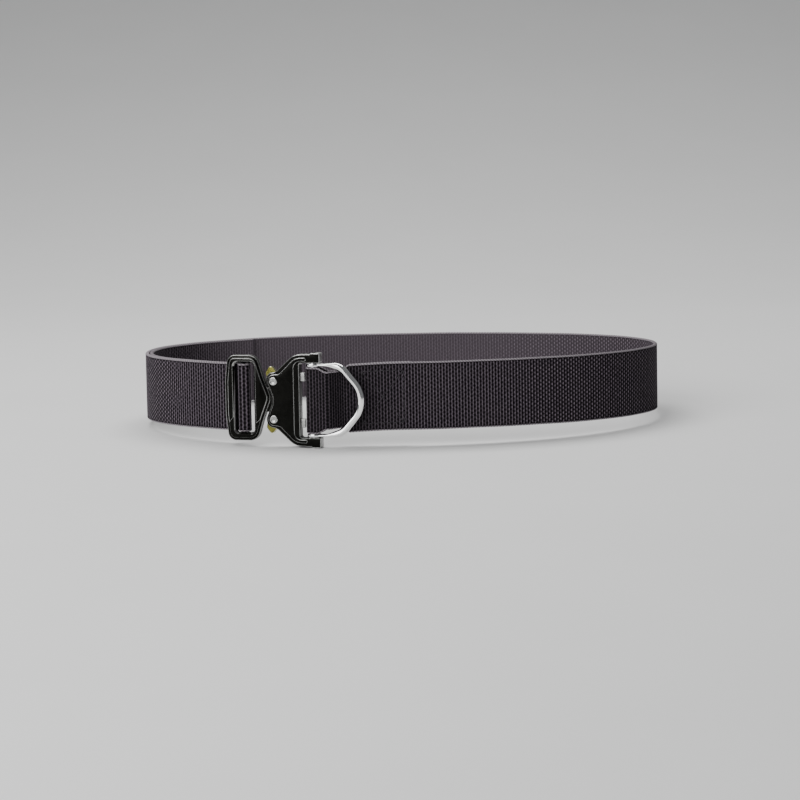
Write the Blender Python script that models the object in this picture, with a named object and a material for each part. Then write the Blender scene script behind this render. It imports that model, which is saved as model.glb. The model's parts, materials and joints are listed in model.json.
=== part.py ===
"""A webbing waist belt, buckled and standing on its lower edge.

The webbing is one strip: its sewn end folds round a steel cross pin, the main run goes round the
waist, and the other end wraps a slider bar in the tongue frame and comes back inside as a tail.
The buckle has a tongue frame, a housing, two riveted release clips and a D-ring on the cross pin.

The buckle is drawn in its own plane: u runs along the belt, v up, and w out towards the viewer.
"""

import math

import bmesh
import bpy
from mathutils import Matrix, Vector

MM = 0.001
GAP = 0.25 * MM  # between pieces that lie on each other
ARC_STEP = math.radians(15)
BLACK = (0.012, 0.012, 0.013)  # of the anodised pieces

# The loop that the main run follows, at the middle of the webbing.
LOOP_HALF_LENGTH = 173.2 * MM
LOOP_HALF_DEPTH = 101.7 * MM
LOOP_POWER = 2.1  # 2 is an ellipse
LOOP_TAPER = 0.036  # how much deeper the loop is at its left end than in its middle
LOOP_STEPS = 132

WEB_WIDTH = 44.5 * MM
WEB_THICKNESS = 2.6 * MM
WEB_EDGE = 0.6 * MM  # how far the selvedge is rounded
LAYER_PITCH = WEB_THICKNESS + 0.35 * MM  # from one layer of webbing to the next
TAIL_END_X = -104 * MM  # where the tail stops, on the back of the loop
FOLD_RUN = 34 * MM  # how far the sewn fold runs along the loop, from where it leaves the buckle

# Where the buckle sits on the loop: its rivets' middle, and its plane behind the webbing's middle.
BUCKLE_X = -84 * MM
BUCKLE_SET_BACK = 1.2 * MM
# How far each half of the buckle hangs below the webbing's middle.
FRAME_DROP = 0.3 * MM
HOUSING_DROP = 1.5 * MM

RIVET_V = 12.4 * MM
RIVET_RADIUS = 1.9 * MM
RIVET_HEAD_RADIUS = 2.75 * MM
RIVET_SEAT = 0.3 * MM  # how deep the heads are let into the housing

HOUSING_DEPTH = 7.2 * MM
PLATEAU_TOP = 7.9 * MM
SLOT_EDGE_U = 17.3 * MM
ARM_OUTER_V = 30.8 * MM
ARM_END_U = 31.2 * MM
CHANNEL = (2.2 * MM, 5.7 * MM)  # the slot for tongue and clips, in w
BLADE = (2.5 * MM, 5.4 * MM)  # tongue and clips, in w

PIN_U = 26.0 * MM
PIN_W = 3.7 * MM
PIN_RADIUS = 2.25 * MM
PIN_WRAP = PIN_RADIUS + GAP + WEB_THICKNESS / 2

PINCHED_HALF_WIDTH = 18.9 * MM  # of the webbing, where the ring's shoulders stand beside it

FRAME = (1.1 * MM, 6.8 * MM)  # the frame's back and front, in w
WINDOW_HALF_HEIGHT = 22.7 * MM
WINDOW = (-26.7 * MM, -14.0 * MM)  # in u
SLIDER_U = -21.2 * MM
SLIDER_W = 2.8 * MM
SLIDER_RADIUS = 1.5 * MM
SLIDER_WRAP = SLIDER_RADIUS + 0.2 * MM + WEB_THICKNESS / 2
SLIDER_EAR = 1.5 * MM  # how far its ears reach into the frame

RING_REST = math.radians(2.5)  # how far the ring leans back from the buckle's plane
RING_LEG_V = 22.9 * MM
RING_REACH = 31.2 * MM  # from the pin to the middle of the ring's far side
RING_BAR_RADIUS = 2.35 * MM
RING_LEG_THICKNESS = 1.7 * MM
RING_EYE_RADIUS = 4.6 * MM


def rounded_route(corners, closed=False):
    """Points along straight runs joined by arcs. Each corner is (x, y, radius)."""
    count = len(corners)
    points = []
    for i, (x, y, radius) in enumerate(corners):
        here = Vector((x, y))
        end = not closed and i in (0, count - 1)
        if end or radius == 0:
            points.append(here)
            continue
        before = (Vector(corners[i - 1][:2]) - here).normalized()
        after = (Vector(corners[(i + 1) % count][:2]) - here).normalized()
        turn = math.pi - before.angle(after)
        if turn < 1e-4:
            points.append(here)
            continue
        reach = radius * math.tan(turn / 2)
        centre = here + (before + after).normalized() * (radius / math.cos(turn / 2))
        start = here + before * reach - centre
        side = 1 if before.cross(after) < 0 else -1
        steps = max(1, math.ceil(turn / ARC_STEP))
        for k in range(steps + 1):
            points.append(centre + Matrix.Rotation(side * turn * k / steps, 2) @ start)
    return points


def inset(points, distance):
    """The closed outline moved inwards by this distance; a negative one moves it out."""
    moved = []
    for i, here in enumerate(points):
        before = (here - points[i - 1]).normalized()
        after = (points[(i + 1) % len(points)] - here).normalized()
        normal = Vector((-before.y - after.y, before.x + after.x))
        moved.append(here + normal * (2 * distance / normal.length_squared))
    return moved


def mirrored_outline(upper):
    """A closed outline from its upper half's corners, which run from right to left."""
    corners = upper + [(u, -v, r) for u, v, r in reversed(upper) if v]
    return rounded_route([(u * MM, v * MM, r * MM) for u, v, r in corners], closed=True)


def circle(centre_u, centre_v, radius, sides=24):
    return [
        Vector((centre_u + radius * math.cos(a), centre_v + radius * math.sin(a)))
        for a in (2 * math.pi * k / sides for k in range(sides))
    ]


def add_object(name, bm, parent, colour=None, roughness=0.5, metallic=0.0):
    bmesh.ops.recalc_face_normals(bm, faces=bm.faces)
    mesh = bpy.data.meshes.new(name)
    bm.to_mesh(mesh)
    bm.free()
    obj = bpy.data.objects.new(name, mesh)
    bpy.context.scene.collection.objects.link(obj)
    obj.parent = parent
    if colour is None:
        obj.hide_render = True
        obj.display_type = "WIRE"
    else:
        material = bpy.data.materials.new(name)
        material.use_nodes = True
        shader = material.node_tree.nodes["Principled BSDF"]
        shader.inputs["Base Color"].default_value = (*colour, 1)
        shader.inputs["Roughness"].default_value = roughness
        shader.inputs["Metallic"].default_value = metallic
        mesh.materials.append(material)
    return obj


def add_rings(bm, rings):
    """Skins rings of points, each with the same count, and closes both ends."""
    made = [[bm.verts.new(p) for p in ring] for ring in rings]
    count = len(made[0])
    for low, high in zip(made, made[1:]):
        for i in range(count):
            j = (i + 1) % count
            bm.faces.new((low[i], low[j], high[j], high[i]))
    bm.faces.new(reversed(made[0]))
    bm.faces.new(made[-1])


def plate_mesh(outline, levels):
    """A plate in the buckle's plane. Each level is (inset of the outline, w)."""
    bm = bmesh.new()
    add_rings(bm, [[(p.x, -w, p.y) for p in inset(outline, d)] for d, w in levels])
    return bm


def edged(back, front, edge):
    """Levels of a plate whose back and front rims are chamfered."""
    return [(edge, back), (0, back + edge), (0, front - edge), (edge, front)]


def boolean(obj, operation, other):
    modifier = obj.modifiers.new(other.name, "BOOLEAN")
    modifier.operation = operation
    modifier.object = other


def cut_hole(obj, parent, u, v, radius, back=-5 * MM, front=15 * MM):
    hole = plate_mesh(circle(u, v, radius), [(0, back), (0, front)])
    boolean(obj, "DIFFERENCE", add_object(obj.name + "_hole", hole, parent))


def loop_point(angle, depth=0.0):
    """A point of the loop's middle line, moved inwards by depth."""
    c, s = math.cos(angle), math.sin(angle)
    share = 2 / LOOP_POWER
    x = math.copysign(abs(c) ** share, c)
    y = math.copysign(abs(s) ** share, s)
    here = Vector((x * LOOP_HALF_LENGTH, y * LOOP_HALF_DEPTH * (1 - LOOP_TAPER * x)))
    if not depth:
        return here
    along = (loop_point(angle + 0.001) - loop_point(angle - 0.001)).normalized()
    return here + Vector((-along.y, along.x)) * depth


def buckle_pose():
    """Where the buckle's own origin lies in the loop's plan, and how far it is turned."""
    cosine = -abs(BUCKLE_X / LOOP_HALF_LENGTH) ** (LOOP_POWER / 2)
    angle = -math.acos(cosine)
    along = (loop_point(angle + 0.001) - loop_point(angle - 0.001)).normalized()
    inward = Vector((-along.y, along.x))
    return loop_point(angle) + inward * BUCKLE_SET_BACK, math.atan2(along.y, along.x)


def in_plan(u, w):
    """A point of the buckle's mid plane, given in u and w, in the loop's plan."""
    origin, turn = buckle_pose()
    return origin + Matrix.Rotation(turn, 2) @ Vector((u, -w))


def in_buckle(point):
    """A point of the loop's plan as (u, w)."""
    origin, turn = buckle_pose()
    local = Matrix.Rotation(-turn, 2) @ (point - origin)
    return local.x, -local.y


def loop_angles():
    """Angles round the loop from the front, anticlockwise as seen from above."""
    return [2 * math.pi * k / LOOP_STEPS - math.pi / 2 for k in range(-LOOP_STEPS // 4, LOOP_STEPS)]


def main_run():
    """Angles of the loop points that the outer layer follows, from right of the pin to the frame."""
    found = []
    for angle in loop_angles():
        u, w = in_buckle(loop_point(angle))
        in_front = w > -60 * MM
        if in_front and u < 52 * MM and not found:
            continue
        if found and in_front and -80 * MM < u and u > -36 * MM and angle > math.pi:
            break
        if found or (in_front and u >= 52 * MM):
            found.append(angle)
    return found


def webbing_route():
    """The strip's middle line from the sewn fold's end to the tail's end."""
    angles = main_run()
    fold, length = [], 0
    for angle in angles:
        fold.append(loop_point(angle, LAYER_PITCH))
        length = (fold[-1] - fold[0]).length
        if length > FOLD_RUN:
            break
    tail = []
    for angle in reversed(angles):
        point = loop_point(angle, LAYER_PITCH)
        if point.y > 0 and point.x > TAIL_END_X:
            break
        tail.append(point)

    pin_low, pin_high = PIN_W - PIN_WRAP, PIN_W + PIN_WRAP
    pin_left = PIN_U - PIN_WRAP
    slider_right = SLIDER_U + SLIDER_WRAP
    slider_high = SLIDER_W + SLIDER_WRAP
    at_pin = [
        (44.5 * MM, -5.9 * MM, 12 * MM),
        (30.0 * MM, pin_low, 6 * MM),
        (pin_left, pin_low, PIN_WRAP),
        (pin_left, pin_high, PIN_WRAP),
        (36.3 * MM, pin_high, 3 * MM),
        (43.2 * MM, -2.2 * MM, 6 * MM),
    ]
    # The tail leaves the slider bar along a slope and then runs close behind the main run.
    slope, run = math.radians(35.5), 12 * MM
    leave = SLIDER_W - SLIDER_WRAP * math.tan(math.pi / 4 - slope / 2)
    at_slider = [
        (-25.0 * MM, -0.75 * MM, 2.5 * MM),
        (-23.6 * MM, slider_high, 2.0 * MM),
        (slider_right, slider_high, SLIDER_WRAP),
        (slider_right, leave, SLIDER_WRAP),
        (slider_right - run * math.cos(slope), leave - run * math.sin(slope), 6 * MM),
    ]
    corners = [(*p, 0) for p in reversed(fold)]
    corners += [(*in_plan(u, w), r) for u, w, r in at_pin]
    corners += [(*loop_point(a), 0) for a in angles]
    corners += [(*in_plan(u, w), r) for u, w, r in at_slider]
    corners += [(*p, 0) for p in tail]
    return rounded_route(corners)


def between(value, table):
    """Looks value up in a table of (value, result), smoothly, with the end results outside it."""
    if value <= table[0][0]:
        return table[0][1]
    for (low, first), (high, second) in zip(table, table[1:]):
        if value < high:
            share = (value - low) / (high - low)
            return first + (second - first) * share * share * (3 - 2 * share)
    return table[-1][1]


def webbing_height(point):
    """The webbing's middle height and half width at a point of its route."""
    u, w = in_buckle(point)
    if w < -30 * MM:
        return 0, WEB_WIDTH / 2
    middle = between(
        u,
        [
            (-60 * MM, 0),
            (-30 * MM, -FRAME_DROP),
            (-14 * MM, -FRAME_DROP),
            (20 * MM, -HOUSING_DROP),
            (32 * MM, -HOUSING_DROP),
            (75 * MM, 0),
        ],
    )
    half = between(
        u,
        [
            (-14 * MM, WEB_WIDTH / 2),
            (20 * MM, WEB_WIDTH / 2 - 0.6 * MM),
            (29 * MM, WEB_WIDTH / 2 - 0.6 * MM),
            (36 * MM, PINCHED_HALF_WIDTH),
            (43 * MM, PINCHED_HALF_WIDTH),
            (48 * MM, WEB_WIDTH / 2),
        ],
    )
    return middle, half


def make_webbing(belt):
    route = webbing_route()
    half, edge = WEB_THICKNESS / 2, WEB_EDGE
    rings = []
    for i, here in enumerate(route):
        along = Vector((0, 0))
        if i:
            along += (here - route[i - 1]).normalized()
        if i + 1 < len(route):
            along += (route[i + 1] - here).normalized()
        side = Vector((along.y, -along.x)).normalized()
        middle, top = webbing_height(here)
        section = [
            (-half, top - edge),
            (-half, edge - top),
            (edge - half, -top),
            (half - edge, -top),
            (half, edge - top),
            (half, top - edge),
            (half - edge, top),
            (edge - half, top),
        ]
        rings.append([(*(here + side * across), middle + up) for across, up in section])
    bm = bmesh.new()
    add_rings(bm, rings)
    return add_object("webbing", bm, belt, colour=(0.03, 0.027, 0.031), roughness=0.85)


def make_housing(buckle):
    outline = mirrored_outline(
        [
            (17.3, 0.0, 0),
            (17.3, 24.4, 1.5),
            (31.2, 24.4, 0.8),
            (31.2, 30.8, 0.8),
            (25.4, 30.8, 0.8),
            (24.7, 30.1, 0.4),
            (13.8, 29.9, 12),
            (1.6, 18.6, 7),
            (-5.2, 17.1, 4.8),
            (-5.2, 11.4, 4),
            (-1.6, 2.8, 4),
        ]
    )
    plate = plate_mesh(outline, edged(0, HOUSING_DEPTH, 0.5 * MM))
    housing = add_object("housing", plate, buckle, BLACK, 0.3, 0.8)
    plateau = mirrored_outline(
        [
            (13.8, 0.0, 0),
            (13.8, 25.4, 4.5),
            (22.3, 25.4, 1.2),
            (22.3, 27.9, 1.2),
            (14.4, 27.7, 10),
            (4.0, 17.2, 5),
            (-3.9, 16.2, 3.6),
            (-3.9, 11.0, 3),
            (-0.5, 2.4, 3),
        ]
    )
    top = PLATEAU_TOP
    step = plate_mesh(plateau, [(0, HOUSING_DEPTH - 1.2 * MM), (0, top - 0.35 * MM), (0.35 * MM, top)])
    boolean(housing, "UNION", add_object("housing_plateau", step, buckle))
    # Small lugs on the slot's edge.
    for side in (1, -1):
        low, high = sorted((side * 12.2 * MM, side * 18.0 * MM))
        left, right = 16 * MM, 20.3 * MM
        lug = [Vector(p) for p in ((left, low), (right, low), (right, high), (left, high))]
        tab = plate_mesh(lug, edged(2.2 * MM, 4.6 * MM, 0.25 * MM))
        boolean(housing, "UNION", add_object("housing_lug", tab, buckle))
    channel = mirrored_outline(
        [
            (13.8, 0.0, 0),
            (13.8, 15.6, 3),
            (5.6, 15.6, 0.6),
            (5.6, 34.0, 0),
            (-12.0, 34.0, 0),
        ]
    )
    cutter = plate_mesh(channel, [(0, CHANNEL[0]), (0, CHANNEL[1])])
    boolean(housing, "DIFFERENCE", add_object("housing_channel", cutter, buckle))
    seat = RIVET_HEAD_RADIUS + GAP
    for side in (1, -1):
        cut_hole(housing, buckle, 0, side * RIVET_V, RIVET_RADIUS + GAP)
        cut_hole(housing, buckle, 0, side * RIVET_V, seat, back=top - RIVET_SEAT)
        cut_hole(housing, buckle, 0, side * RIVET_V, seat, front=RIVET_SEAT)
    bore = bmesh.new()
    reach = ARM_OUTER_V + 5 * MM
    add_rings(
        bore,
        [
            [(PIN_U + p.x, p.y - PIN_W, v) for p in circle(0, 0, PIN_RADIUS + GAP)]
            for v in (-reach, reach)
        ],
    )
    boolean(housing, "DIFFERENCE", add_object("housing_bore", bore, buckle))
    return housing


def make_tongue_frame(buckle):
    outline = mirrored_outline(
        [
            (-2.9, 1.6, 2),
            (-7.4, 13.4, 14),
            (-11.9, 27.9, 7),
            (-31.5, 27.9, 5.5),
            (-33.4, 11.0, 24),
        ]
    )
    back, front = FRAME
    levels = [
        (0.6 * MM, back),
        (0, back + 0.6 * MM),
        (0, front - 1.2 * MM),
        (0.35 * MM, front - 0.9 * MM),
        (2.1 * MM, front),
    ]
    frame = add_object("tongue_frame", plate_mesh(outline, levels), buckle, BLACK, 0.3, 0.8)
    window = mirrored_outline(
        [
            (WINDOW[1] / MM, WINDOW_HALF_HEIGHT / MM, 2),
            (WINDOW[0] / MM, WINDOW_HALF_HEIGHT / MM, 2),
        ]
    )
    flare = [
        (-1.3 * MM, back - 0.5 * MM),
        (0, back + 0.9 * MM),
        (0, front - 1.4 * MM),
        (-1.7 * MM, front + 0.2 * MM),
    ]
    opening = plate_mesh(window, flare)
    boolean(frame, "DIFFERENCE", add_object("tongue_frame_window", opening, buckle))
    # The grooves in which the slider's ears run.
    groove_half = WINDOW_HALF_HEIGHT + SLIDER_EAR + GAP
    groove = mirrored_outline([(-16.6, groove_half / MM, 0), (-25.6, groove_half / MM, 0)])
    run = plate_mesh(groove, [(0, SLIDER_W - 1.35 * MM), (0, SLIDER_W + 1.35 * MM)])
    boolean(frame, "DIFFERENCE", add_object("tongue_frame_groove", run, buckle))
    # The tongue: the clips' hooks sit in its notches and hold its head.
    low = HOUSING_DROP - FRAME_DROP
    blade = mirrored_outline(
        [
            (12.6, 7.6, 2),
            (8.4, 7.6, 0.5),
            (8.4, 6.0, 0.5),
            (3.2, 6.0, 0.6),
            (2.6, 7.9, 0.6),
            (-5.0, 7.9, 2),
            (-9.5, 9.2, 0),
        ]
    )
    tongue = plate_mesh([Vector((p.x, p.y - low)) for p in blade], edged(*BLADE, 0.3 * MM))
    boolean(frame, "UNION", add_object("tongue_frame_blade", tongue, buckle))
    return frame


def make_slider_bar(buckle):
    """A round bar with a flat ear at each end, which runs in the frame's grooves."""
    top = WINDOW_HALF_HEIGHT + SLIDER_EAR
    neck = WINDOW_HALF_HEIGHT - 0.05 * MM
    rings = []
    for v, across, deep in (
        (-top, 3.6, 1.1),
        (-neck, 3.6, 1.1),
        (-neck + 0.3 * MM, SLIDER_RADIUS / MM, SLIDER_RADIUS / MM),
        (neck - 0.3 * MM, SLIDER_RADIUS / MM, SLIDER_RADIUS / MM),
        (neck, 3.6, 1.1),
        (top, 3.6, 1.1),
    ):
        rings.append(
            [
                (SLIDER_U + across * MM * math.cos(a), -SLIDER_W - deep * MM * math.sin(a), v)
                for a in (2 * math.pi * (k + 0.5) / 16 for k in range(16))
            ]
        )
    bm = bmesh.new()
    add_rings(bm, rings)
    return add_object("slider_bar", bm, buckle, BLACK, 0.3, 0.9)


def make_rivet(name, buckle, side):
    head, top = RIVET_HEAD_RADIUS, PLATEAU_TOP - RIVET_SEAT + GAP
    back = RIVET_SEAT - GAP
    profile = [
        (2.1 * MM, back - 0.75 * MM),
        (head, back - 0.35 * MM),
        (head, back),
        (RIVET_RADIUS, back),
        (RIVET_RADIUS, top),
        (head, top),
        (head, top + 0.4 * MM),
        (2.1 * MM, top + 0.85 * MM),
        (1.2 * MM, top + 0.85 * MM),
        (0.9 * MM, top + 0.6 * MM),
    ]
    bm = bmesh.new()
    add_rings(bm, [[(p.x, -w, p.y) for p in circle(0, side * RIVET_V, r)] for r, w in profile])
    return add_object(name, bm, buckle, (0.75, 0.75, 0.74), 0.3, 1.0)


def make_clip(name, buckle, side):
    """A release clip: hook, hub and thumb tab in one plate. Its origin is on its rivet."""
    hook = [(4.3, -6.0), (6.3, -6.0), (6.7, -4.6), (5.6, -1.6), (4.3, 0.8)]
    tab = [(3.4, 4.0), (1.4, 5.9), (-0.9, 8.9), (-2.3, 9.7), (-3.6, 8.9), (-5.9, 5.6)]
    hub = [(-4.9, 0.4), (-3.2, -2.9), (-0.5, -4.0), (2.6, -3.6)]
    outline = [Vector((u * MM, v * MM)) for u, v in hook + tab + hub]
    if side < 0:
        outline = [Vector((p.x, -p.y)) for p in reversed(outline)]
    blank = plate_mesh(outline, edged(*BLADE, 0.3 * MM))
    clip = add_object(name, blank, buckle, (0.6, 0.5, 0.2), 0.35, 1.0)
    hole = plate_mesh(circle(0, 0, RIVET_RADIUS + GAP), [(0, 0), (0, 10 * MM)])
    cutter = add_object(name + "_hole", hole, buckle)
    boolean(clip, "DIFFERENCE", cutter)
    for obj in (clip, cutter):
        obj.location = (0, 0, side * RIVET_V)
    return clip


def make_cross_pin(buckle):
    reach = ARM_OUTER_V - 0.4 * MM
    bm = bmesh.new()
    add_rings(
        bm,
        [
            [(PIN_U + p.x, p.y - PIN_W, v) for p in circle(0, 0, radius)]
            for radius, v in (
                (PIN_RADIUS - 0.3 * MM, -reach),
                (PIN_RADIUS, -reach + 0.3 * MM),
                (PIN_RADIUS, reach - 0.3 * MM),
                (PIN_RADIUS - 0.3 * MM, reach),
            )
        ],
    )
    return add_object("cross_pin", bm, buckle, (0.55, 0.55, 0.56), 0.3, 1.0)


def ring_route():
    """The ring's middle line in its own plane, from one eye to the other."""
    upper = [
        (0, RING_LEG_V, 0),
        (9 * MM, RING_LEG_V, 9 * MM),
        (18.2 * MM, RING_LEG_V - 1.2 * MM, 12 * MM),
        (RING_REACH, 6.5 * MM, 17 * MM),
    ]
    return rounded_route(upper + [(x, -y, r) for x, y, r in reversed(upper)])


def ring_half_sizes(x):
    """Half the bar's size in the ring's plane and across it, x from the pin: flat legs, round bow."""
    bend = (7 * MM, 16 * MM)
    flat, deep = RING_LEG_THICKNESS / 2, 3.1 * MM
    thin = between(x, [(bend[0], flat), (bend[1], RING_BAR_RADIUS)])
    return thin, between(x, [(bend[0], deep), (bend[1], RING_BAR_RADIUS)])


def make_d_ring(buckle, sides=10):
    rough = ring_route()
    route = [rough[0]]
    for start, end in zip(rough, rough[1:]):
        steps = max(1, round((end - start).length / (3 * MM)))
        if abs(start.x - end.x) < 1e-6:
            steps = 1
        route += [start.lerp(end, (k + 1) / steps) for k in range(steps)]
    rings = []
    for i, here in enumerate(route):
        along = (route[min(i + 1, len(route) - 1)] - route[max(i - 1, 0)]).normalized()
        outward = Vector((-along.y, along.x))
        in_plane, across = ring_half_sizes(here.x)
        ring = []
        for k in range(sides):
            a = 2 * math.pi * (k + 0.5) / sides
            p = here + outward * (in_plane * math.cos(a))
            ring.append((p.x, across * math.sin(a), p.y))
        rings.append(ring)
    bm = bmesh.new()
    add_rings(bm, rings)
    d_ring = add_object("d_ring", bm, buckle, (0.8, 0.8, 0.79), 0.12, 1.0)
    helpers = []
    for side in (1, -1):
        low, high = (side * RING_LEG_V - 0.9 * MM, side * RING_LEG_V + 0.9 * MM)
        eye = bmesh.new()
        levels = ((0.25 * MM, low), (0, low + 0.25 * MM), (0, high - 0.25 * MM), (0.25 * MM, high))
        add_rings(eye, [[(p.x, p.y, v) for p in circle(0, 0, RING_EYE_RADIUS - d)] for d, v in levels])
        helpers.append(("UNION", add_object("d_ring_eye", eye, buckle)))
    bore = bmesh.new()
    add_rings(bore, [[(p.x, p.y, v) for p in circle(0, 0, PIN_RADIUS + GAP)] for v in (-30 * MM, 30 * MM)])
    helpers.append(("DIFFERENCE", add_object("d_ring_bore", bore, buckle)))
    for obj in [d_ring] + [h for _, h in helpers]:
        obj.location = (PIN_U, -PIN_W, 0)
        obj.rotation_euler = (0, 0, RING_REST)
    for operation, helper in helpers:
        boolean(d_ring, operation, helper)
    return d_ring


def lean_angle():
    """How far the loop leans back when it stands on the housing's lower arm and its rear edge."""
    overhang = ARM_OUTER_V + HOUSING_DROP - WEB_WIDTH / 2
    arm_y = in_plan((SLOT_EDGE_U + ARM_END_U) / 2, 0).y
    rear_y = LOOP_HALF_DEPTH + WEB_THICKNESS / 2
    return math.atan(overhang / (rear_y - arm_y))


def stand_on_floor(belt, parts):
    """Moves the belt so that its box is centred over the origin with its lowest point at zero."""
    bpy.context.view_layer.update()
    graph = bpy.context.evaluated_depsgraph_get()
    corners = []
    for part in parts:
        evaluated = part.evaluated_get(graph)
        mesh = evaluated.to_mesh()
        corners += [evaluated.matrix_world @ v.co for v in mesh.vertices]
        evaluated.to_mesh_clear()
    low = [min(c[i] for c in corners) for i in range(3)]
    high = [max(c[i] for c in corners) for i in range(3)]
    belt.location = (-(low[0] + high[0]) / 2, -(low[1] + high[1]) / 2, -low[2])
    bpy.context.view_layer.update()


def add_empty(name, parent=None):
    empty = bpy.data.objects.new(name, None)
    bpy.context.scene.collection.objects.link(empty)
    empty.parent = parent
    return empty


def main():
    for obj in list(bpy.data.objects):
        bpy.data.objects.remove(obj)
    belt = add_empty("belt_frame")
    origin, turn = buckle_pose()
    left = add_empty("tongue_side", belt)
    right = add_empty("housing_side", belt)
    left.location = (*origin, -FRAME_DROP)
    right.location = (*origin, -HOUSING_DROP)
    left.rotation_euler = right.rotation_euler = (0, 0, turn)
    parts = [
        make_webbing(belt),
        make_housing(right),
        make_tongue_frame(left),
        make_slider_bar(left),
        make_rivet("rivet_upper", right, 1),
        make_rivet("rivet_lower", right, -1),
        make_clip("clip_upper", right, 1),
        make_clip("clip_lower", right, -1),
        make_cross_pin(right),
        make_d_ring(right),
    ]
    belt.rotation_euler = (-lean_angle(), 0, 0)
    stand_on_floor(belt, parts)
    return parts


main()
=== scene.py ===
# %% [markdown]
# # A webbing belt, buckled and standing on its edge
# The real belt is one strip of stiff nylon webbing with a two-part plate buckle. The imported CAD
# model already says where each solid lies and what moves. Loading it first gives every later piece
# its place in metres, so nothing here is fitted by eye.

# %% Load the frame
import json
import math

import bmesh
import bpy
import numpy as np
from mathutils import Matrix, Vector

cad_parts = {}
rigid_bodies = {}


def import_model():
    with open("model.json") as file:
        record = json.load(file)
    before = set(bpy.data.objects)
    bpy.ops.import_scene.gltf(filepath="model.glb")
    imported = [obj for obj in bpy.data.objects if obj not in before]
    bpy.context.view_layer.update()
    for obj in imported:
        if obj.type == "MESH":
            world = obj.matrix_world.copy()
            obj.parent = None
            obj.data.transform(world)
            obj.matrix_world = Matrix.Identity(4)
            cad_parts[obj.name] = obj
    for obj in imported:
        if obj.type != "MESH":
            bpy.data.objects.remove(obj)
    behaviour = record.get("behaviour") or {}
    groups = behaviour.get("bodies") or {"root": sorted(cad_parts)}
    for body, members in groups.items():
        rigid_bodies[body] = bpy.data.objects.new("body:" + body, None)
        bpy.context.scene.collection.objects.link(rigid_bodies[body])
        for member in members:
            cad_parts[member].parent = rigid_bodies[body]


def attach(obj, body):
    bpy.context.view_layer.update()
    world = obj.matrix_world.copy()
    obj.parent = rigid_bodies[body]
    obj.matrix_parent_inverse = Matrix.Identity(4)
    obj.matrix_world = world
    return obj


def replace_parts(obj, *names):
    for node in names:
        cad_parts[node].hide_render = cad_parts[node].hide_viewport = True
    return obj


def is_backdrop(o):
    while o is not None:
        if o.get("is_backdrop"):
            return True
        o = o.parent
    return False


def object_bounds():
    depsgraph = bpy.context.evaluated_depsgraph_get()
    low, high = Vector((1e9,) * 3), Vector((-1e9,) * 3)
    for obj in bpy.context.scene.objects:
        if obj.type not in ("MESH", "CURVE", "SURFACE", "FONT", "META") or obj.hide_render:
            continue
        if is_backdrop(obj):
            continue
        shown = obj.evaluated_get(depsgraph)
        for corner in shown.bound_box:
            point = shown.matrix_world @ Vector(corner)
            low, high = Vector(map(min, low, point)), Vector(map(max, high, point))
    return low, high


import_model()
cad_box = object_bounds()
MM = 0.001


def add_object(name, data):
    """A new object in the scene."""
    made = bpy.data.objects.new(name, data)
    bpy.context.scene.collection.objects.link(made)
    return made


print("CAD box, mm:", [round(c / MM, 1) for corner in cad_box for c in corner])

# %% [markdown]
# ## The belt's lean
# The buckle's lower arm reaches below the webbing, so the belt stands on that arm and on the rear
# edge of its loop, and the whole loop leans back a little. Everything on the belt is made upright
# first and then tilted by one matrix, as in the CAD.

# %% Tilt and place
LEAN = math.radians(2.8688)
STANDS_AT = Vector((0, 3.5929, 27.3516)) * MM
belt_matrix = Matrix.Translation(STANDS_AT) @ Matrix.Rotation(-LEAN, 4, "X")
print("belt leans back by", round(math.degrees(LEAN), 2), "degrees")

# %% [markdown]
# ## The camera
# A long lens almost level with the belt keeps the loop's far side just above the near side. The
# angles are measured against the upright loop and then tilted with it.

# %% Camera
VIEW_TURN, VIEW_HEIGHT, VIEW_ROLL = math.radians(1.33), math.radians(6.25), math.radians(1.02)
VIEW_DISTANCE, LENS_PIXELS, IMAGE, SENSOR = 1.880, 2749, 800, 36
CENTRE_PIXEL = (402.2, 378.9)

forward = Vector((
    math.sin(VIEW_TURN) * math.cos(VIEW_HEIGHT),
    math.cos(VIEW_TURN) * math.cos(VIEW_HEIGHT),
    -math.sin(VIEW_HEIGHT),
))
right = Vector((math.cos(VIEW_TURN), -math.sin(VIEW_TURN), 0))
up = right.cross(forward)
rolled_right = right * math.cos(VIEW_ROLL) - up * math.sin(VIEW_ROLL)
rolled_up = right * math.sin(VIEW_ROLL) + up * math.cos(VIEW_ROLL)
camera = add_object("camera", bpy.data.cameras.new("camera"))
pose = Matrix((rolled_right, rolled_up, -forward)).transposed().to_4x4()
pose.translation = -forward * VIEW_DISTANCE
camera.matrix_world = belt_matrix @ pose
camera.data.sensor_width = SENSOR
camera.data.lens = LENS_PIXELS / IMAGE * SENSOR
camera.data.shift_x = -(CENTRE_PIXEL[0] - IMAGE / 2) / IMAGE
camera.data.shift_y = (CENTRE_PIXEL[1] - IMAGE / 2) / IMAGE
bpy.context.scene.camera = camera
camera_height = camera.matrix_world.translation.z
print("camera", round(camera_height, 3), "m high, lens", round(camera.data.lens, 1), "mm")

# %% [markdown]
# ## Where the strip runs
# Seen from above, the webbing is a line: from its sewn fold round the cross pin, round the waist,
# over the slider bar, and back inside as the tail. A path of straight runs and arcs, drawn in
# plan, holds all of it. The loop itself is a soft oval, a superellipse that is a little deeper at
# its left end.

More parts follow.
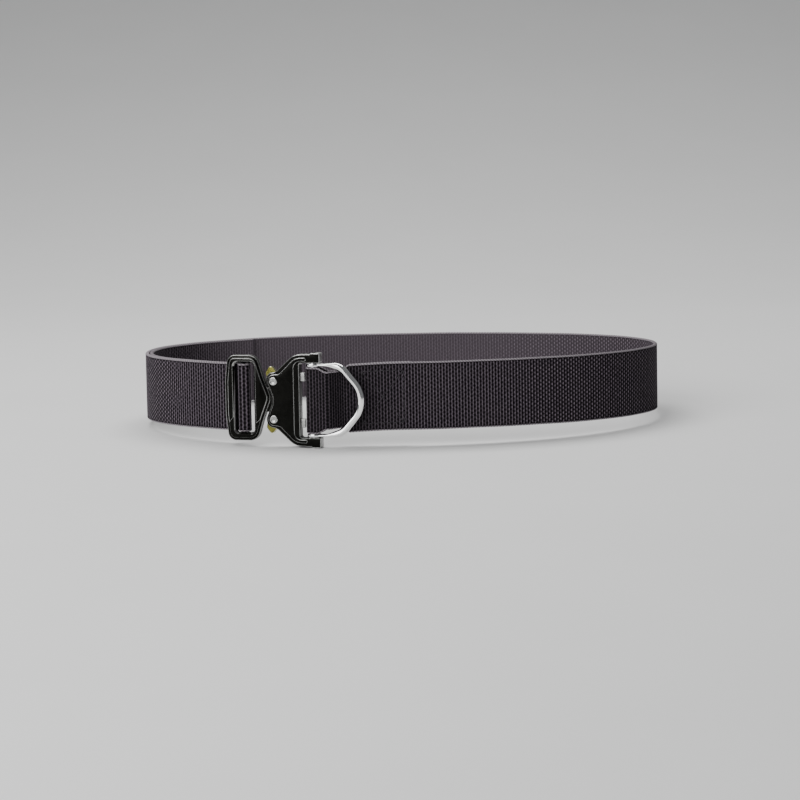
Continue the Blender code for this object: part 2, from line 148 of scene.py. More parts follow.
# %% Named sizes of the strip
WEB_WIDTH, WEB_THICKNESS = 44.5 * MM, 2.6 * MM
LAYER_PITCH = WEB_THICKNESS + 0.35 * MM
LOOP_HALF_LENGTH, LOOP_HALF_DEPTH = 173.2 * MM, 101.7 * MM
LOOP_POWER, LOOP_TAPER, LOOP_STEPS = 2.1, 0.036, 792
BUCKLE_X, BUCKLE_SET_BACK = -84 * MM, 1.2 * MM
FRAME_DROP, HOUSING_DROP = 0.3 * MM, 1.5 * MM
PIN_U, PIN_W, PIN_RADIUS = 26.0 * MM, 3.7 * MM, 2.25 * MM
PIN_WRAP = PIN_RADIUS + 0.25 * MM + WEB_THICKNESS / 2
SLIDER_U, SLIDER_W, SLIDER_RADIUS = -21.2 * MM, 2.8 * MM, 1.5 * MM
SLIDER_WRAP = SLIDER_RADIUS + 0.2 * MM + WEB_THICKNESS / 2
FOLD_RUN, TAIL_END_X = 34 * MM, -104 * MM
RUN_STARTS_U, RUN_ENDS_U, FRONT_DEPTH = 52 * MM, -36 * MM, 60 * MM
PINCHED_HALF_WIDTH = 18.9 * MM
print("strip", WEB_WIDTH / MM, "mm wide,", WEB_THICKNESS / MM, "mm thick")


# %% Arcs and outlines
def rounded_route(corners, closed=False, step=math.radians(4)):
    """Points along straight runs joined by arcs. Each corner is (x, y, radius)."""
    count, points = len(corners), []
    for i, (x, y, radius) in enumerate(corners):
        here = Vector((x, y))
        if radius == 0 or (not closed and i in (0, count - 1)):
            points.append(here)
            continue
        before = (Vector(corners[i - 1][:2]) - here).normalized()
        after = (Vector(corners[(i + 1) % count][:2]) - here).normalized()
        turn = math.pi - before.angle(after)
        if turn < 1e-4:
            points.append(here)
            continue
        centre = here + (before + after).normalized() * (radius / math.cos(turn / 2))
        start = here + before * (radius * math.tan(turn / 2)) - centre
        side = 1 if before.cross(after) < 0 else -1
        steps = max(1, math.ceil(turn / step))
        for k in range(steps + 1):
            points.append(centre + Matrix.Rotation(side * turn * k / steps, 2) @ start)
    return points


# %% The oval and the buckle's place on it
def loop_point(angle, depth=0.0):
    """A point of the loop's middle line, moved inwards by depth."""
    c, s = math.cos(angle), math.sin(angle)
    x = math.copysign(abs(c) ** (2 / LOOP_POWER), c)
    y = math.copysign(abs(s) ** (2 / LOOP_POWER), s)
    here = Vector((x * LOOP_HALF_LENGTH, y * LOOP_HALF_DEPTH * (1 - LOOP_TAPER * x)))
    if not depth:
        return here
    along = (loop_point(angle + 0.001) - loop_point(angle - 0.001)).normalized()
    return here + Vector((-along.y, along.x)) * depth


buckle_angle = -math.acos(-abs(BUCKLE_X / LOOP_HALF_LENGTH) ** (LOOP_POWER / 2))
along = (loop_point(buckle_angle + 0.001) - loop_point(buckle_angle - 0.001)).normalized()
buckle_origin = loop_point(buckle_angle) + Vector((-along.y, along.x)) * BUCKLE_SET_BACK
buckle_turn = math.atan2(along.y, along.x)
print("buckle at", [round(c / MM, 2) for c in buckle_origin], "mm")
print("buckle turned", round(math.degrees(buckle_turn), 2), "degrees")


# %% From the buckle's own measures to the plan, and back
# In the buckle's plane u runs along the belt, v up, and w out towards the viewer.
def in_plan(u, w):
    return buckle_origin + Matrix.Rotation(buckle_turn, 2) @ Vector((u, -w))


def in_buckle(point):
    local = Matrix.Rotation(-buckle_turn, 2) @ (point - buckle_origin)
    return local.x, -local.y


# %% [markdown]
# ## The route's three stretches
# The main run takes every point of the oval from the right of the pin round to the frame. The
# fold and the tail lie one layer inside it. Corners with radii carry the strip round the pin and
# the slider bar.

# %% The whole route in plan
def main_run():
    """Angles of the loop points that the outer layer follows, from right of the pin to the frame."""
    found = []
    for k in range(-LOOP_STEPS // 4, LOOP_STEPS):
        angle = 2 * math.pi * k / LOOP_STEPS - math.pi / 2
        u, w = in_buckle(loop_point(angle))
        in_front = w > -FRONT_DEPTH
        if found and in_front and u > RUN_ENDS_U and angle > math.pi:
            break
        if found or (in_front and u >= RUN_STARTS_U):
            found.append(angle)
    return found


def strip_route():
    """Points of the strip's middle line: the fold, the pin, the main run, the slider and the tail."""
    angles = main_run()
    fold = []
    for angle in angles:
        fold.append(loop_point(angle, LAYER_PITCH))
        if (fold[-1] - fold[0]).length > FOLD_RUN:
            break
    tail = []
    for angle in reversed(angles):
        point = loop_point(angle, LAYER_PITCH)
        if point.y > 0 and point.x > TAIL_END_X:
            break
        tail.append(point)
    pin_low, pin_high, pin_left = PIN_W - PIN_WRAP, PIN_W + PIN_WRAP, PIN_U - PIN_WRAP
    slider_right, slider_high = SLIDER_U + SLIDER_WRAP, SLIDER_W + SLIDER_WRAP
    at_pin = [
        (44.5 * MM, -5.9 * MM, 12 * MM),
        (30.0 * MM, pin_low, 6 * MM),
        (pin_left, pin_low, PIN_WRAP),
        (pin_left, pin_high, PIN_WRAP),
        (36.3 * MM, pin_high, 3 * MM),
        (43.2 * MM, -2.2 * MM, 6 * MM),
    ]
    slope, run = math.radians(35.5), 12 * MM
    leave = SLIDER_W - SLIDER_WRAP * math.tan(math.pi / 4 - slope / 2)
    at_slider = [
        (-25.0 * MM, -0.75 * MM, 2.5 * MM),
        (-23.6 * MM, slider_high, 2.0 * MM),
        (slider_right, slider_high, SLIDER_WRAP),
        (slider_right, leave, SLIDER_WRAP),
        (slider_right - run * math.cos(slope), leave - run * math.sin(slope), 6 * MM),
    ]
    corners = [(*p, 0) for p in reversed(fold)]
    corners += [(*in_plan(u, w), r) for u, w, r in at_pin]
    corners += [(*loop_point(a), 0) for a in angles]
    corners += [(*in_plan(u, w), r) for u, w, r in at_slider]
    corners += [(*p, 0) for p in tail]
    return np.array([tuple(p) for p in rounded_route(corners)])


# %% Distances and directions along a route
def way_along(points):
    """How far each point of a route is from its start."""
    return np.concatenate([[0], np.cumsum(np.linalg.norm(np.diff(points, axis=0), axis=1))])


def at_stops(points, stops):
    """The route's points at these distances, and its direction at each."""
    here = np.stack([np.interp(stops, way_along(points), points[:, k]) for k in (0, 1)], axis=1)
    ahead = np.gradient(here, axis=0)
    return here, ahead / np.linalg.norm(ahead, axis=1)[:, None]


rough_route = strip_route()
strip_length = way_along(rough_route)[-1]
print("strip is", round(strip_length / MM), "mm long")

# %% [markdown]
# ## The weave
# Stiff webbing like this is a thick plain weave with a rib across the belt every 2 mm. Between two
# ribs the warp yarns dive in and out, which leaves a column of dark dashes, and the dashes of
# neighbouring columns are half a step apart. A plain bump would leave the edges of the strip
# straight, so the ribs and dashes are real geometry here: four rings to a rib, four rows to a dash.

# %% Rings along the strip
WEFT_PITCH, YARN_PITCH = 2.0 * MM, 1.371 * MM
RING_STEP = WEFT_PITCH / 4
ring_count = round(strip_length / RING_STEP) + 1
travel = np.arange(ring_count) * RING_STEP
travel[-1] = min(travel[-1], strip_length)
plan, strip_ahead = at_stops(rough_route, travel)
outward = np.stack([strip_ahead[:, 1], -strip_ahead[:, 0]], axis=1)
print(ring_count, "rings")


# %% Height and width of the strip along its way
# The tongue frame and the housing hang a little low, and the strip narrows where the ring's
# shoulders stand beside it.
NECK_HALF_WIDTH = WEB_WIDTH / 2 - 0.6 * MM


def between(value, table):
    """Looks value up in rows of (value, result), with smooth steps and the end results outside."""
    value = np.asarray(value, float)
    result = np.full_like(value, table[0][1])
    for (low, first), (high, second) in zip(table, table[1:]):
        share = np.clip((value - low) / (high - low), 0, 1)
        result += (second - first) * share * share * (3 - 2 * share)
    return result


local = (plan - np.array(tuple(buckle_origin))) @ np.array(Matrix.Rotation(buckle_turn, 2))
ring_u, ring_w = local[:, 0], -local[:, 1]
near_buckle = ring_w > -30 * MM
middle = between(ring_u / MM, [
    (-60, 0), (-30, -FRAME_DROP), (-14, -FRAME_DROP), (20, -HOUSING_DROP), (32, -HOUSING_DROP), (75, 0),
])
half_width = between(ring_u / MM, [
    (-14, WEB_WIDTH / 2), (20, NECK_HALF_WIDTH), (29, NECK_HALF_WIDTH),
    (36, PINCHED_HALF_WIDTH), (43, PINCHED_HALF_WIDTH), (48, WEB_WIDTH / 2),
])
middle[~near_buckle] = 0
half_width[~near_buckle] = WEB_WIDTH / 2
print("half width from", round(half_width.min() / MM, 2), "to", round(half_width.max() / MM, 2), "mm")

# %% [markdown]
# ## One ring of the strip
# The section is a flat bar with round selvedges. Rows on both broad faces are half a yarn apart,
# so every dash and the bridge above it have vertices of their own.

# %% The section's rows
FACE_ROWS, EDGE_ROWS, SELVEDGE = 62, 6, 1.0 * MM
FACE_HALF = WEB_WIDTH / 2 - SELVEDGE
HALF_THICK = WEB_THICKNESS / 2

face = np.linspace(-1, 1, FACE_ROWS + 1)
bend = np.linspace(0, np.pi, EDGE_ROWS + 1)[1:-1]
# Rows run up the outer face, over the top edge, down the inner face and round the lower edge.
row_face = np.concatenate([face, np.ones(len(bend)), face[::-1], -np.ones(len(bend))])
row_edge = np.concatenate([face * 0, np.sin(bend), face * 0, -np.sin(bend)])
row_side = np.concatenate([face * 0 + 1, np.cos(bend), face * 0 - 1, -np.cos(bend)])
normal_up = row_edge * HALF_THICK
normal_out = row_side * SELVEDGE
size = np.hypot(normal_up, normal_out)
normal_up, normal_out = normal_up / size, normal_out / size
row_height = row_face * FACE_HALF + row_edge * SELVEDGE
print(len(row_face), "rows round the section")


# %% How far each vertex stands out
def chess(s, v):
    """A chessboard of soft squares, 1 where a yarn bridges two ribs and -1 where it dives under."""
    return np.cos(math.pi * s / WEFT_PITCH) * np.cos(math.pi * v / YARN_PITCH)


def slow_wave(s, v, shift):
    """A gentle unevenness that keeps the strip from looking machined, between -1 and 1."""
    s, v = s / MM, v / MM
    return (
        np.sin(s / 17.3 + 0.8 * np.sin(v / 11) + shift)
        + np.sin(s / 41.7 + v / 19 + 2.1 * shift)
        + np.sin(s / 7.1 - v / 6.3 + 3.7 * shift)
    ) / 3


s = travel[:, None]
v = row_height[None, :]
on_face = (row_edge == 0).astype(float)[None, :]
bridges = chess(s, v) * row_side[None, :]
valley = np.cos(2 * math.pi * s / WEFT_PITCH)  # 1 between two ribs, -1 on top of a rib
CORD_STARTS, CORD_GROOVE, CORD_SOFT = 21.0 * MM, 20.75 * MM, 0.4 * MM
cord = np.clip((np.abs(v) - CORD_STARTS) / CORD_SOFT, 0, 1)  # 0 on the face, 1 on the selvedge cord
groove = np.exp(-((np.abs(v) - CORD_GROOVE) / CORD_SOFT) ** 2)
FACE_SUNK, DASH_DEPTH, RIB_DEPTH = 0.17, 0.11, 0.10
GROOVE_DEPTH, CORD_SUNK, CORD_TWIST = 0.08, 0.04, 0.07
relief = (
    (1 - cord) * (-FACE_SUNK + DASH_DEPTH * bridges - RIB_DEPTH * valley)
    - groove * on_face * (GROOVE_DEPTH + 0.06 * valley)
    - cord * (CORD_SUNK + CORD_TWIST * valley * (1 - 0.5 * on_face))
) * MM
# The unevenness fades out beside the buckle, where the strip is held.
HELD_TO_U, LOOSENS_OVER = 44, 20
calm = np.clip((np.abs(ring_u[:, None]) / MM - HELD_TO_U) / LOOSENS_OVER, 0, 1)
calm = np.where(near_buckle[:, None], calm, 1.0)
UNEVENNESS, WANDER = 0.05 * MM, 0.12 * MM
relief += UNEVENNESS * slow_wave(s, v, 0.4) * calm
print("relief from", round(relief.min() / MM, 2), "to", round(relief.max() / MM, 2), "mm")

# %% Every vertex of the strip
span = (half_width - SELVEDGE)[:, None]
across = row_side[None, :] * HALF_THICK + normal_out[None, :] * relief
upward = row_face[None, :] * span + row_edge[None, :] * SELVEDGE + normal_up[None, :] * relief
upward = upward + middle[:, None] + WANDER * slow_wave(s, 0 * v, 1.9) * calm
strip = np.empty((ring_count, len(row_face), 3))
strip[..., :2] = plan[:, None, :] + outward[:, None, :] * across[..., None]
strip[..., 2] = upward
tilt = np.array(belt_matrix)
strip = strip @ tilt[:3, :3].T + tilt[:3, 3]
print("strip has", strip.shape[0] * strip.shape[1], "vertices")

# %% Smooth normals of the whole strip
# The strip is cut into five meshes below. Normals worked out before the cut keep the joins
# invisible.
by_ring = np.gradient(strip, axis=0)
by_row = np.roll(strip, -1, axis=1) - np.roll(strip, 1, axis=1)
strip_normal = np.cross(by_ring, by_row)
strip_normal /= np.linalg.norm(strip_normal, axis=2)[..., None]
print(strip_normal.shape[0] * strip_normal.shape[1], "normals")

# %% [markdown]
# ## Cutting the strip into meshes
# One mesh of the whole strip would be too heavy to handle, so it is cut at the pin, at the slider,
# at the far right and behind the wearer. Each vertex carries its place on the strip as a UV in
# millimetres, which the cloth's shader reads, and a number that says which face it is on.

# %% The faces of a length of strip
def strip_faces(rings):
    """The corners of all faces, each face's number of corners, and how many are not at an end."""
    rows = len(row_face)
    i = np.arange(rings - 1)[:, None] * rows
    j = np.arange(rows)[None, :]
    k = (j + 1) % rows
    quads = np.stack([i + j, i + rows + j, i + rows + k, i + k], axis=-1).reshape(-1, 4)
    # Each end is closed by quads between the two broad faces and one polygon over each edge.
    last_ring, inner_foot = (rings - 1) * rows, 2 * FACE_ROWS + EDGE_ROWS
    cap = np.array([[a, a + 1, inner_foot - 1 - a, inner_foot - a] for a in range(FACE_ROWS)])
    ends = [*cap, *(cap[:, ::-1] + last_ring)]
    for rim in ([*range(FACE_ROWS, FACE_ROWS + EDGE_ROWS + 1)], [*range(inner_foot, rows), 0]):
        ends += [np.array(rim), np.array(rim[::-1]) + last_ring]
    sizes = [4] * len(quads) + [len(end) for end in ends]
    return np.concatenate([quads.ravel(), *ends]), np.array(sizes), len(quads)


def triangles_in(mesh):
    """How many triangles the mesh's faces make."""
    return sum(len(p.vertices) - 2 for p in mesh.polygons)


# %% A length of strip as a closed mesh
def cut_strip(name, first, last):
    """The strip from one of its rings to another, with its ends closed."""
    part = strip[first:last + 1]
    loops, sizes, quads = strip_faces(len(part))
    mesh = bpy.data.meshes.new(name)
    mesh.vertices.add(part.shape[0] * part.shape[1])
    mesh.vertices.foreach_set("co", part.reshape(-1, 3).astype(np.float32).ravel())
    mesh.loops.add(len(loops))
    mesh.loops.foreach_set("vertex_index", loops.astype(np.int32))
    mesh.polygons.add(len(sizes))
    starts = np.concatenate([[0], np.cumsum(sizes)[:-1]])
    mesh.polygons.foreach_set("loop_start", starts.astype(np.int32))
    mesh.update(calc_edges=True)
    mesh.validate()
    # UV: millimetres along the strip and up it.
    grid_uv = np.stack(np.broadcast_arrays(
        travel[first:last + 1, None] / MM, row_height[None, :] / MM), axis=-1).reshape(-1, 2)
    uv = mesh.uv_layers.new(name="strip")
    uv.uv.foreach_set("vector", grid_uv[loops].astype(np.float32).ravel())
    side = mesh.attributes.new("side", "FLOAT", "POINT")
    side.data.foreach_set("value", np.tile(row_side, len(part)).astype(np.float32))
    # The ends stay flat, and every other corner takes the strip's own normal.
    corner_normals = strip_normal[first:last + 1].reshape(-1, 3)[loops]
    facing = np.empty(len(sizes) * 3, np.float32)
    mesh.polygons.foreach_get("normal", facing)
    capped = np.repeat(np.arange(len(sizes)) >= quads, sizes)
    corner_normals[capped] = np.repeat(facing.reshape(-1, 3), sizes, axis=0)[capped]
    mesh.polygons.foreach_set("use_smooth", np.ones(len(sizes), bool))
    mesh.normals_split_custom_set(corner_normals.astype(np.float32))
    piece = add_object(name, mesh)
    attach(piece, "belt")
    reach = [round(travel[ring] / MM) for ring in (first, last)]
    print(name, "has", triangles_in(mesh), "triangles, from", reach[0], "to", reach[1], "mm")
    return piece


# %% The five lengths
from_pin = np.hypot(ring_u - (PIN_U - PIN_WRAP), ring_w - PIN_W)
from_slider = np.hypot(ring_u - (SLIDER_U + SLIDER_WRAP), ring_w - SLIDER_W)
pin_ring, slider_ring = int(np.argmin(from_pin)), int(np.argmin(from_slider))
right_ring = int(np.argmax(plan[:, 0]))
back_ring = (right_ring + slider_ring) // 2
for name, first, last in (
    ("webbing_fold", 0, pin_ring),
    ("webbing_front", pin_ring, right_ring),
    ("webbing_back_right", right_ring, back_ring),
    ("webbing_back_left", back_ring, slider_ring),
    ("webbing_tail", slider_ring, ring_count - 1),
):
    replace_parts(cut_strip(name, first, last), "webbing")

# %% [markdown]
# ## The box stitch
# Two layers of webbing behind the ring are held by a box of stitches with a cross in it, in black
# thread as thick as a yarn. Each stitch is a short bar that rises out of one hole and dives into
# the next, so it is a small tube over the cloth's own surface. Laying it on the strip's grid, at a
# place along it and up it, keeps it on the cloth wherever the cloth bends.

# %% A place on the cloth's outer face
def on_cloth(along_strip, up_strip, lift):
    """A point above the strip, from its place on it, and the cloth's normal there."""
    ring, row = along_strip / RING_STEP, (up_strip / FACE_HALF + 1) / 2 * FACE_ROWS
    i, j = int(ring), int(row)
    shares = np.outer([1 - ring + i, ring - i], [1 - row + j, row - j])[..., None]
    point, normal = ((grid[i:i + 2, j:j + 2] * shares).sum(axis=(0, 1)) for grid in (strip, strip_normal))
    return Vector(point + normal * lift), Vector(normal)


# %% Rows of stitches
STITCH, STITCH_GAP, THREAD_RADIUS = 2.9 * MM, 0.9 * MM, 0.34 * MM
STITCH_SUNK, STITCH_ARCH, STITCH_SIDES = 0.24, 0.42, 8
BOX_FROM_U, BOX_TO_U, BOX_HALF_HEIGHT = 56, 82, 17 * MM


def sew(bm, start, end):
    """A row of stitches between two places on the strip."""
    start, end = Vector(start), Vector(end)
    count = max(1, round((end - start).length / (STITCH + STITCH_GAP)))
    for k in range(count):
        rings = []
        for share in np.linspace(0, 1, 7):
            place = start.lerp(end, (k + 0.1 + 0.8 * share) / count)
            arch = math.sin(math.pi * share) ** 0.6
            lift = (STITCH_ARCH * arch - STITCH_SUNK) * MM
            point, normal = on_cloth(*place, lift)
            ahead = on_cloth(*(place + (end - start).normalized() * 0.2 * MM), lift)[0]
            side = (ahead - point).normalized().cross(normal).normalized()
            thick = THREAD_RADIUS * (0.75 + 0.25 * arch)
            turns = (2 * math.pi * t / STITCH_SIDES for t in range(STITCH_SIDES))
            rings.append([point + (side * math.cos(a) + normal * math.sin(a)) * thick for a in turns])
        made = [[bm.verts.new(p) for p in ring] for ring in rings]
        for low, high in zip(made, made[1:]):
            for i in range(STITCH_SIDES):
                j = (i + 1) % STITCH_SIDES
                bm.faces.new((low[i], low[j], high[j], high[i])).smooth = True
        bm.faces.new(reversed(made[0]))
        bm.faces.new(made[-1])


# %% The boxes outside and inside
def piece_from(name, bm):
    """A new object from a bmesh, which is used up."""
    mesh = bpy.data.meshes.new(name)
    bm.to_mesh(mesh)
    bm.free()
    return add_object(name, mesh)


def sewn_box(name, rings):
    """The box with its cross, over the rings of one layer that lie right of the ring's bow."""
    ends = [travel[rings[np.argmin(np.abs(ring_u[rings] / MM - u))]] for u in (BOX_FROM_U, BOX_TO_U)]
    near, far, height = *ends, BOX_HALF_HEIGHT
    bm = bmesh.new()
    for up_low, up_high in ((-height, -height), (height, height), (-height, height), (height, -height)):
        sew(bm, (near, up_low), (far, up_high))
    for place in ends:
        sew(bm, (place, -height), (place, height))
    bmesh.ops.recalc_face_normals(bm, faces=bm.faces)
    piece = piece_from(name, bm)
    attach(piece, "belt")
    print(name, "has", triangles_in(piece.data), "triangles")


sewn_box("stitches_outside", np.arange(pin_ring, right_ring))
sewn_box("stitches_inside", np.arange(0, pin_ring))

# %% [markdown]
# ## Plates of the buckle
# The buckle's two halves are machined from flat plate. Each can be drawn as an outline in the
# buckle's plane, raised through a few levels that give it a broken edge, and then cut. Booleans
# suit that, because the slot, the bores and the window are real cuts in the real piece too.

# %% Helpers for plates
housing_side, frame_side = (
    belt_matrix @ Matrix.Translation((*buckle_origin, -drop)) @ Matrix.Rotation(buckle_turn, 4, "Z")
    for drop in (HOUSING_DROP, FRAME_DROP)
)
BORE_PLAY, SOFT_ANGLE = 0.25, math.radians(28)


def inset(points, distance):
    """The closed outline moved inwards by this distance; a negative one moves it out."""
    moved = []
    for i, here in enumerate(points):
        before = (here - points[i - 1]).normalized()
        after = (points[(i + 1) % len(points)] - here).normalized()
        normal = Vector((-before.y - after.y, before.x + after.x))
        moved.append(here + normal * (2 * distance / normal.length_squared))
    return moved


def outline(upper, mirrored=True):
    """A closed outline in metres from corners (u, v, radius) in mm, mirrored about v = 0 if asked."""
    corners = upper + [(u, -v, r) for u, v, r in reversed(upper) if v] if mirrored else upper
    return rounded_route([(u * MM, v * MM, r * MM) for u, v, r in corners], closed=True)


def circle(u, v, radius, sides=64):
    turns = (2 * math.pi * k / sides for k in range(sides))
    return [Vector((u + radius * math.cos(a), v + radius * math.sin(a))) for a in turns]


def skin(rings):
    """A closed mesh through rings that have the same number of points."""
    bm = bmesh.new()
    made = [[bm.verts.new(p) for p in ring] for ring in rings]
    count = len(made[0])
    for low, high in zip(made, made[1:]):
        for i in range(count):
            j = (i + 1) % count
            bm.faces.new((low[i], low[j], high[j], high[i]))
    bm.faces.new(reversed(made[0]))
    bm.faces.new(made[-1])
    bmesh.ops.recalc_face_normals(bm, faces=bm.faces)
    return bm


def plate(name, points, levels):
    """A plate in the buckle's plane. Each level is (inset, w) in mm."""
    return piece_from(name, skin([
        [(p.x, -w * MM, p.y) for p in inset(points, d * MM)] for d, w in levels
    ]))


def turned(name, u, w, stations):
    """A round piece about an upright axis at (u, w). Each station is (v, radius), all in metres."""
    return piece_from(name, skin([
        [(u + p.x, p.y - w, v) for p in circle(0, 0, radius)] for v, radius in stations
    ]))


# %% Broken edges
# A machined edge is a small flat with a hint of rounding on both sides of it, which draws the
# thin bright line that every edge of the buckle shows. Such faces are found by how narrow and how
# slanted they are, and marked with a number on the mesh, so that the finish can paint them pale,
# as wear and as a painted highlight.
def broken(back, front, edge, soft=0.12):
    """Levels of a plate whose rims are broken by edge, in mm, with rounded shoulders."""
    rim = [(0, edge + soft), (soft * 0.25, edge), (edge, soft * 0.25), (edge + soft, 0)]
    return [(d, back + w) for d, w in reversed(rim)] + [(d, front - w) for d, w in rim]


def below(front, steps):
    """Levels near a plate's front. Each step is (inset, how far below the front), in mm."""
    return [(d, front - drop) for d, drop in steps]


RIM_WIDTH = 0.75 * MM  # a slanting face narrower than this is a broken edge


def shaped(piece, operation, tools):
    """Applies booleans with these tools at once, and removes the tools."""
    for tool in tools:
        modifier = piece.modifiers.new(tool.name, "BOOLEAN")
        modifier.operation, modifier.object, modifier.solver = operation, tool, "EXACT"
    bpy.context.view_layer.update()
    made = bpy.data.meshes.new_from_object(piece.evaluated_get(bpy.context.evaluated_depsgraph_get()))
    piece.modifiers.clear()
    piece.data = made
    for tool in tools:
        bpy.data.objects.remove(tool)


def settle(piece, matrix, body, slot, *nodes, rims=False):
    """Puts a finished piece in its place on its body, and rounds its shading across shallow angles."""
    piece.data.name = piece.name
    bm = bmesh.new()
    bm.from_mesh(piece.data)
    bmesh.ops.remove_doubles(bm, verts=bm.verts, dist=1e-6)
    bmesh.ops.dissolve_degenerate(bm, edges=bm.edges, dist=1e-6)
    bmesh.ops.triangulate(bm, faces=[f for f in bm.faces if len(f.verts) > 4])
    for f in bm.faces:
        f.smooth = True
    for e in bm.edges:
        e.smooth = e.calc_face_angle(0) < SOFT_ANGLE
    if rims:
        on_rim = bm.faces.layers.float.new("rim")
        for f in bm.faces:
            narrow = f.calc_area() < RIM_WIDTH * max(e.calc_length() for e in f.edges)
            f[on_rim] = float(narrow and 0.25 < abs(f.normal.y) < 0.94)
    bm.to_mesh(piece.data)
    bm.free()
    piece.matrix_world = matrix
    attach(piece, body)
    if nodes:
        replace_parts(piece, *nodes)
    print(piece.name, "has", triangles_in(piece.data), "triangles")


# %% [markdown]
# ## The housing
# The right half of the buckle is a thick plate with a raised front, a slot from the left for the
# tongue and the clips, and two arms that hold the cross pin. It is made in the order a shop would
# make it: the blank, the raised front, then the slot, the rivet holes and the pin's bore. Its
# front is plain.

# %% Blank and raised front
HOUSING_DEPTH, PLATEAU_TOP, RIVET_V = 7.2, 7.9, 12.4
RIVET_RADIUS, RIVET_HEAD, RIVET_SEAT = 1.9, 2.75, 0.3
housing = plate("housing_machined", outline([
    (17.3, 0.0, 0), (17.3, 24.4, 1.5), (31.2, 24.4, 0.8), (31.2, 30.8, 0.8), (25.4, 30.8, 0.8),
    (24.7, 30.1, 0.4), (13.8, 29.9, 12), (1.6, 18.6, 7),
    (-5.2, 17.1, 4.8), (-5.2, 11.4, 4), (-1.6, 2.8, 4),
]), broken(0, HOUSING_DEPTH, 0.5))
plateau = plate("plateau", outline([
    (13.8, 0.0, 0), (13.8, 25.4, 4.5), (22.3, 25.4, 1.2), (22.3, 27.9, 1.2), (14.4, 27.7, 10),
    (4.0, 17.2, 5), (-3.9, 16.2, 3.6), (-3.9, 11.0, 3), (-0.5, 2.4, 3),
]), [(0, 6.0), *below(PLATEAU_TOP, [(0, 0.42), (0.03, 0.34), (0.34, 0.03), (0.42, 0)])])
LUG_HEIGHT = 5.8
lugs = [
    plate("lug", outline([
        (15.5, low, 0.4), (20.3, low, 0.4), (20.3, low + LUG_HEIGHT, 0.4), (15.5, low + LUG_HEIGHT, 0.4),
    ], mirrored=False), broken(2.2, 4.6, 0.25, 0.06))
    for low in (12.2, -18.0)
]
shaped(housing, "UNION", [plateau, *lugs])

# %% Slot, rivet seats and pin bore
slot_cut = plate("slot_cut", outline([
    (13.8, 0.0, 0), (13.8, 15.6, 3), (5.6, 15.6, 0.6), (5.6, 34.0, 0), (-12.0, 34.0, 0),
]), [(0, 2.2), (0, 5.7)])
holes = []
for side in (1, -1):
    for name, radius, low, high in (
        ("hole", RIVET_RADIUS, -5, 15),
        ("seat", RIVET_HEAD, PLATEAU_TOP - RIVET_SEAT, 15),
        ("seat", RIVET_HEAD, -5, RIVET_SEAT),
    ):
        round_hole = circle(0, side * RIVET_V * MM, (radius + BORE_PLAY) * MM)
        holes.append(plate(name, round_hole, [(0, low), (0, high)]))
bore_radius = PIN_RADIUS + BORE_PLAY * MM
bore = turned("bore", PIN_U, PIN_W, [(-36 * MM, bore_radius), (36 * MM, bore_radius)])
shaped(housing, "DIFFERENCE", [slot_cut, *holes, bore])
settle(housing, housing_side, "belt", "housing", "housing", rims=True)

# %% [markdown]
# ## The tongue frame
# The left half is one machined piece: a rounded frame round a window for the webbing, and a
# tongue that slides into the housing. Its front slopes down all round, broadly on the outside and
# more steeply into the window, so it shows two bright lines with a dark face between them. The
# lower rail is a third of a millimetre lower, and a slanting step crosses each side bar above it.

# %% Frame, window, grooves and tongue
FRAME_BACK, FRAME_FRONT = 1.1, 6.8
WINDOW_HALF_HEIGHT, SLIDER_EAR = 22.7, 1.5
tongue_frame = plate("tongue_frame_machined", outline([
    (-2.9, 1.6, 2), (-7.4, 13.4, 14), (-11.9, 27.9, 7), (-31.5, 27.9, 5.5), (-33.4, 11.0, 24),
]), [
    (0.72, FRAME_BACK), (0.6, FRAME_BACK + 0.03), (0.03, FRAME_BACK + 0.6), (0, FRAME_BACK + 0.72),
    *below(FRAME_FRONT, [(0, 1.3), (0.03, 1.2), (0.3, 0.93), (0.42, 0.88)]),
    *below(FRAME_FRONT, [(1.9, 0.4), (1.98, 0.35), (2.26, 0.05), (2.36, 0)]),
])
window_cut = plate("window_cut", outline([
    (-14.0, WINDOW_HALF_HEIGHT, 2), (-26.7, WINDOW_HALF_HEIGHT, 2),
]), [
    (-1.3, FRAME_BACK - 0.5), (-0.1, FRAME_BACK + 0.72), (0, FRAME_BACK + 0.95),
    *below(FRAME_FRONT, [(0, 1.6), (-0.1, 1.38), (-1.35, 0.1), (-1.6, -0.03), (-2.0, -0.3)]),
])
ear_groove = plate("ear_groove", outline([
    (u, WINDOW_HALF_HEIGHT + SLIDER_EAR + BORE_PLAY, 0) for u in (-16.6, -25.6)
]), [(0, 1.45), (0, 4.15)])
rail_corners = [
    (-28.0, -12.3), (-31.9, -17.1), (-36.5, -17.6), (-36.5, -31.0), (-4.0, -31.0), (-4.0, -13.2),
    (-10.1, -14.0), (-13.6, -16.9), (-15.5, -16.9), (-20.0, -12.3),
]
rail_levels = below(FRAME_FRONT, [(0.2, 0.35), (0, 0.2), (0, -1)])
lower_rail = plate("lower_rail", [Vector(corner) * MM for corner in rail_corners], rail_levels)
shaped(tongue_frame, "DIFFERENCE", [window_cut, ear_groove, lower_rail])
blade_low = HOUSING_DROP - FRAME_DROP
blade = plate("blade", [Vector((p.x, p.y - blade_low)) for p in outline([
    (12.6, 7.6, 2), (8.4, 7.6, 0.5), (8.4, 6.0, 0.5), (3.2, 6.0, 0.6),
    (2.6, 7.9, 0.6), (-5.0, 7.9, 2), (-9.5, 9.2, 0),
])], broken(2.5, 5.4, 0.25, 0.05))
shaped(tongue_frame, "UNION", [blade])
settle(tongue_frame, frame_side, "belt", "tongue_frame", "tongue_frame", rims=True)

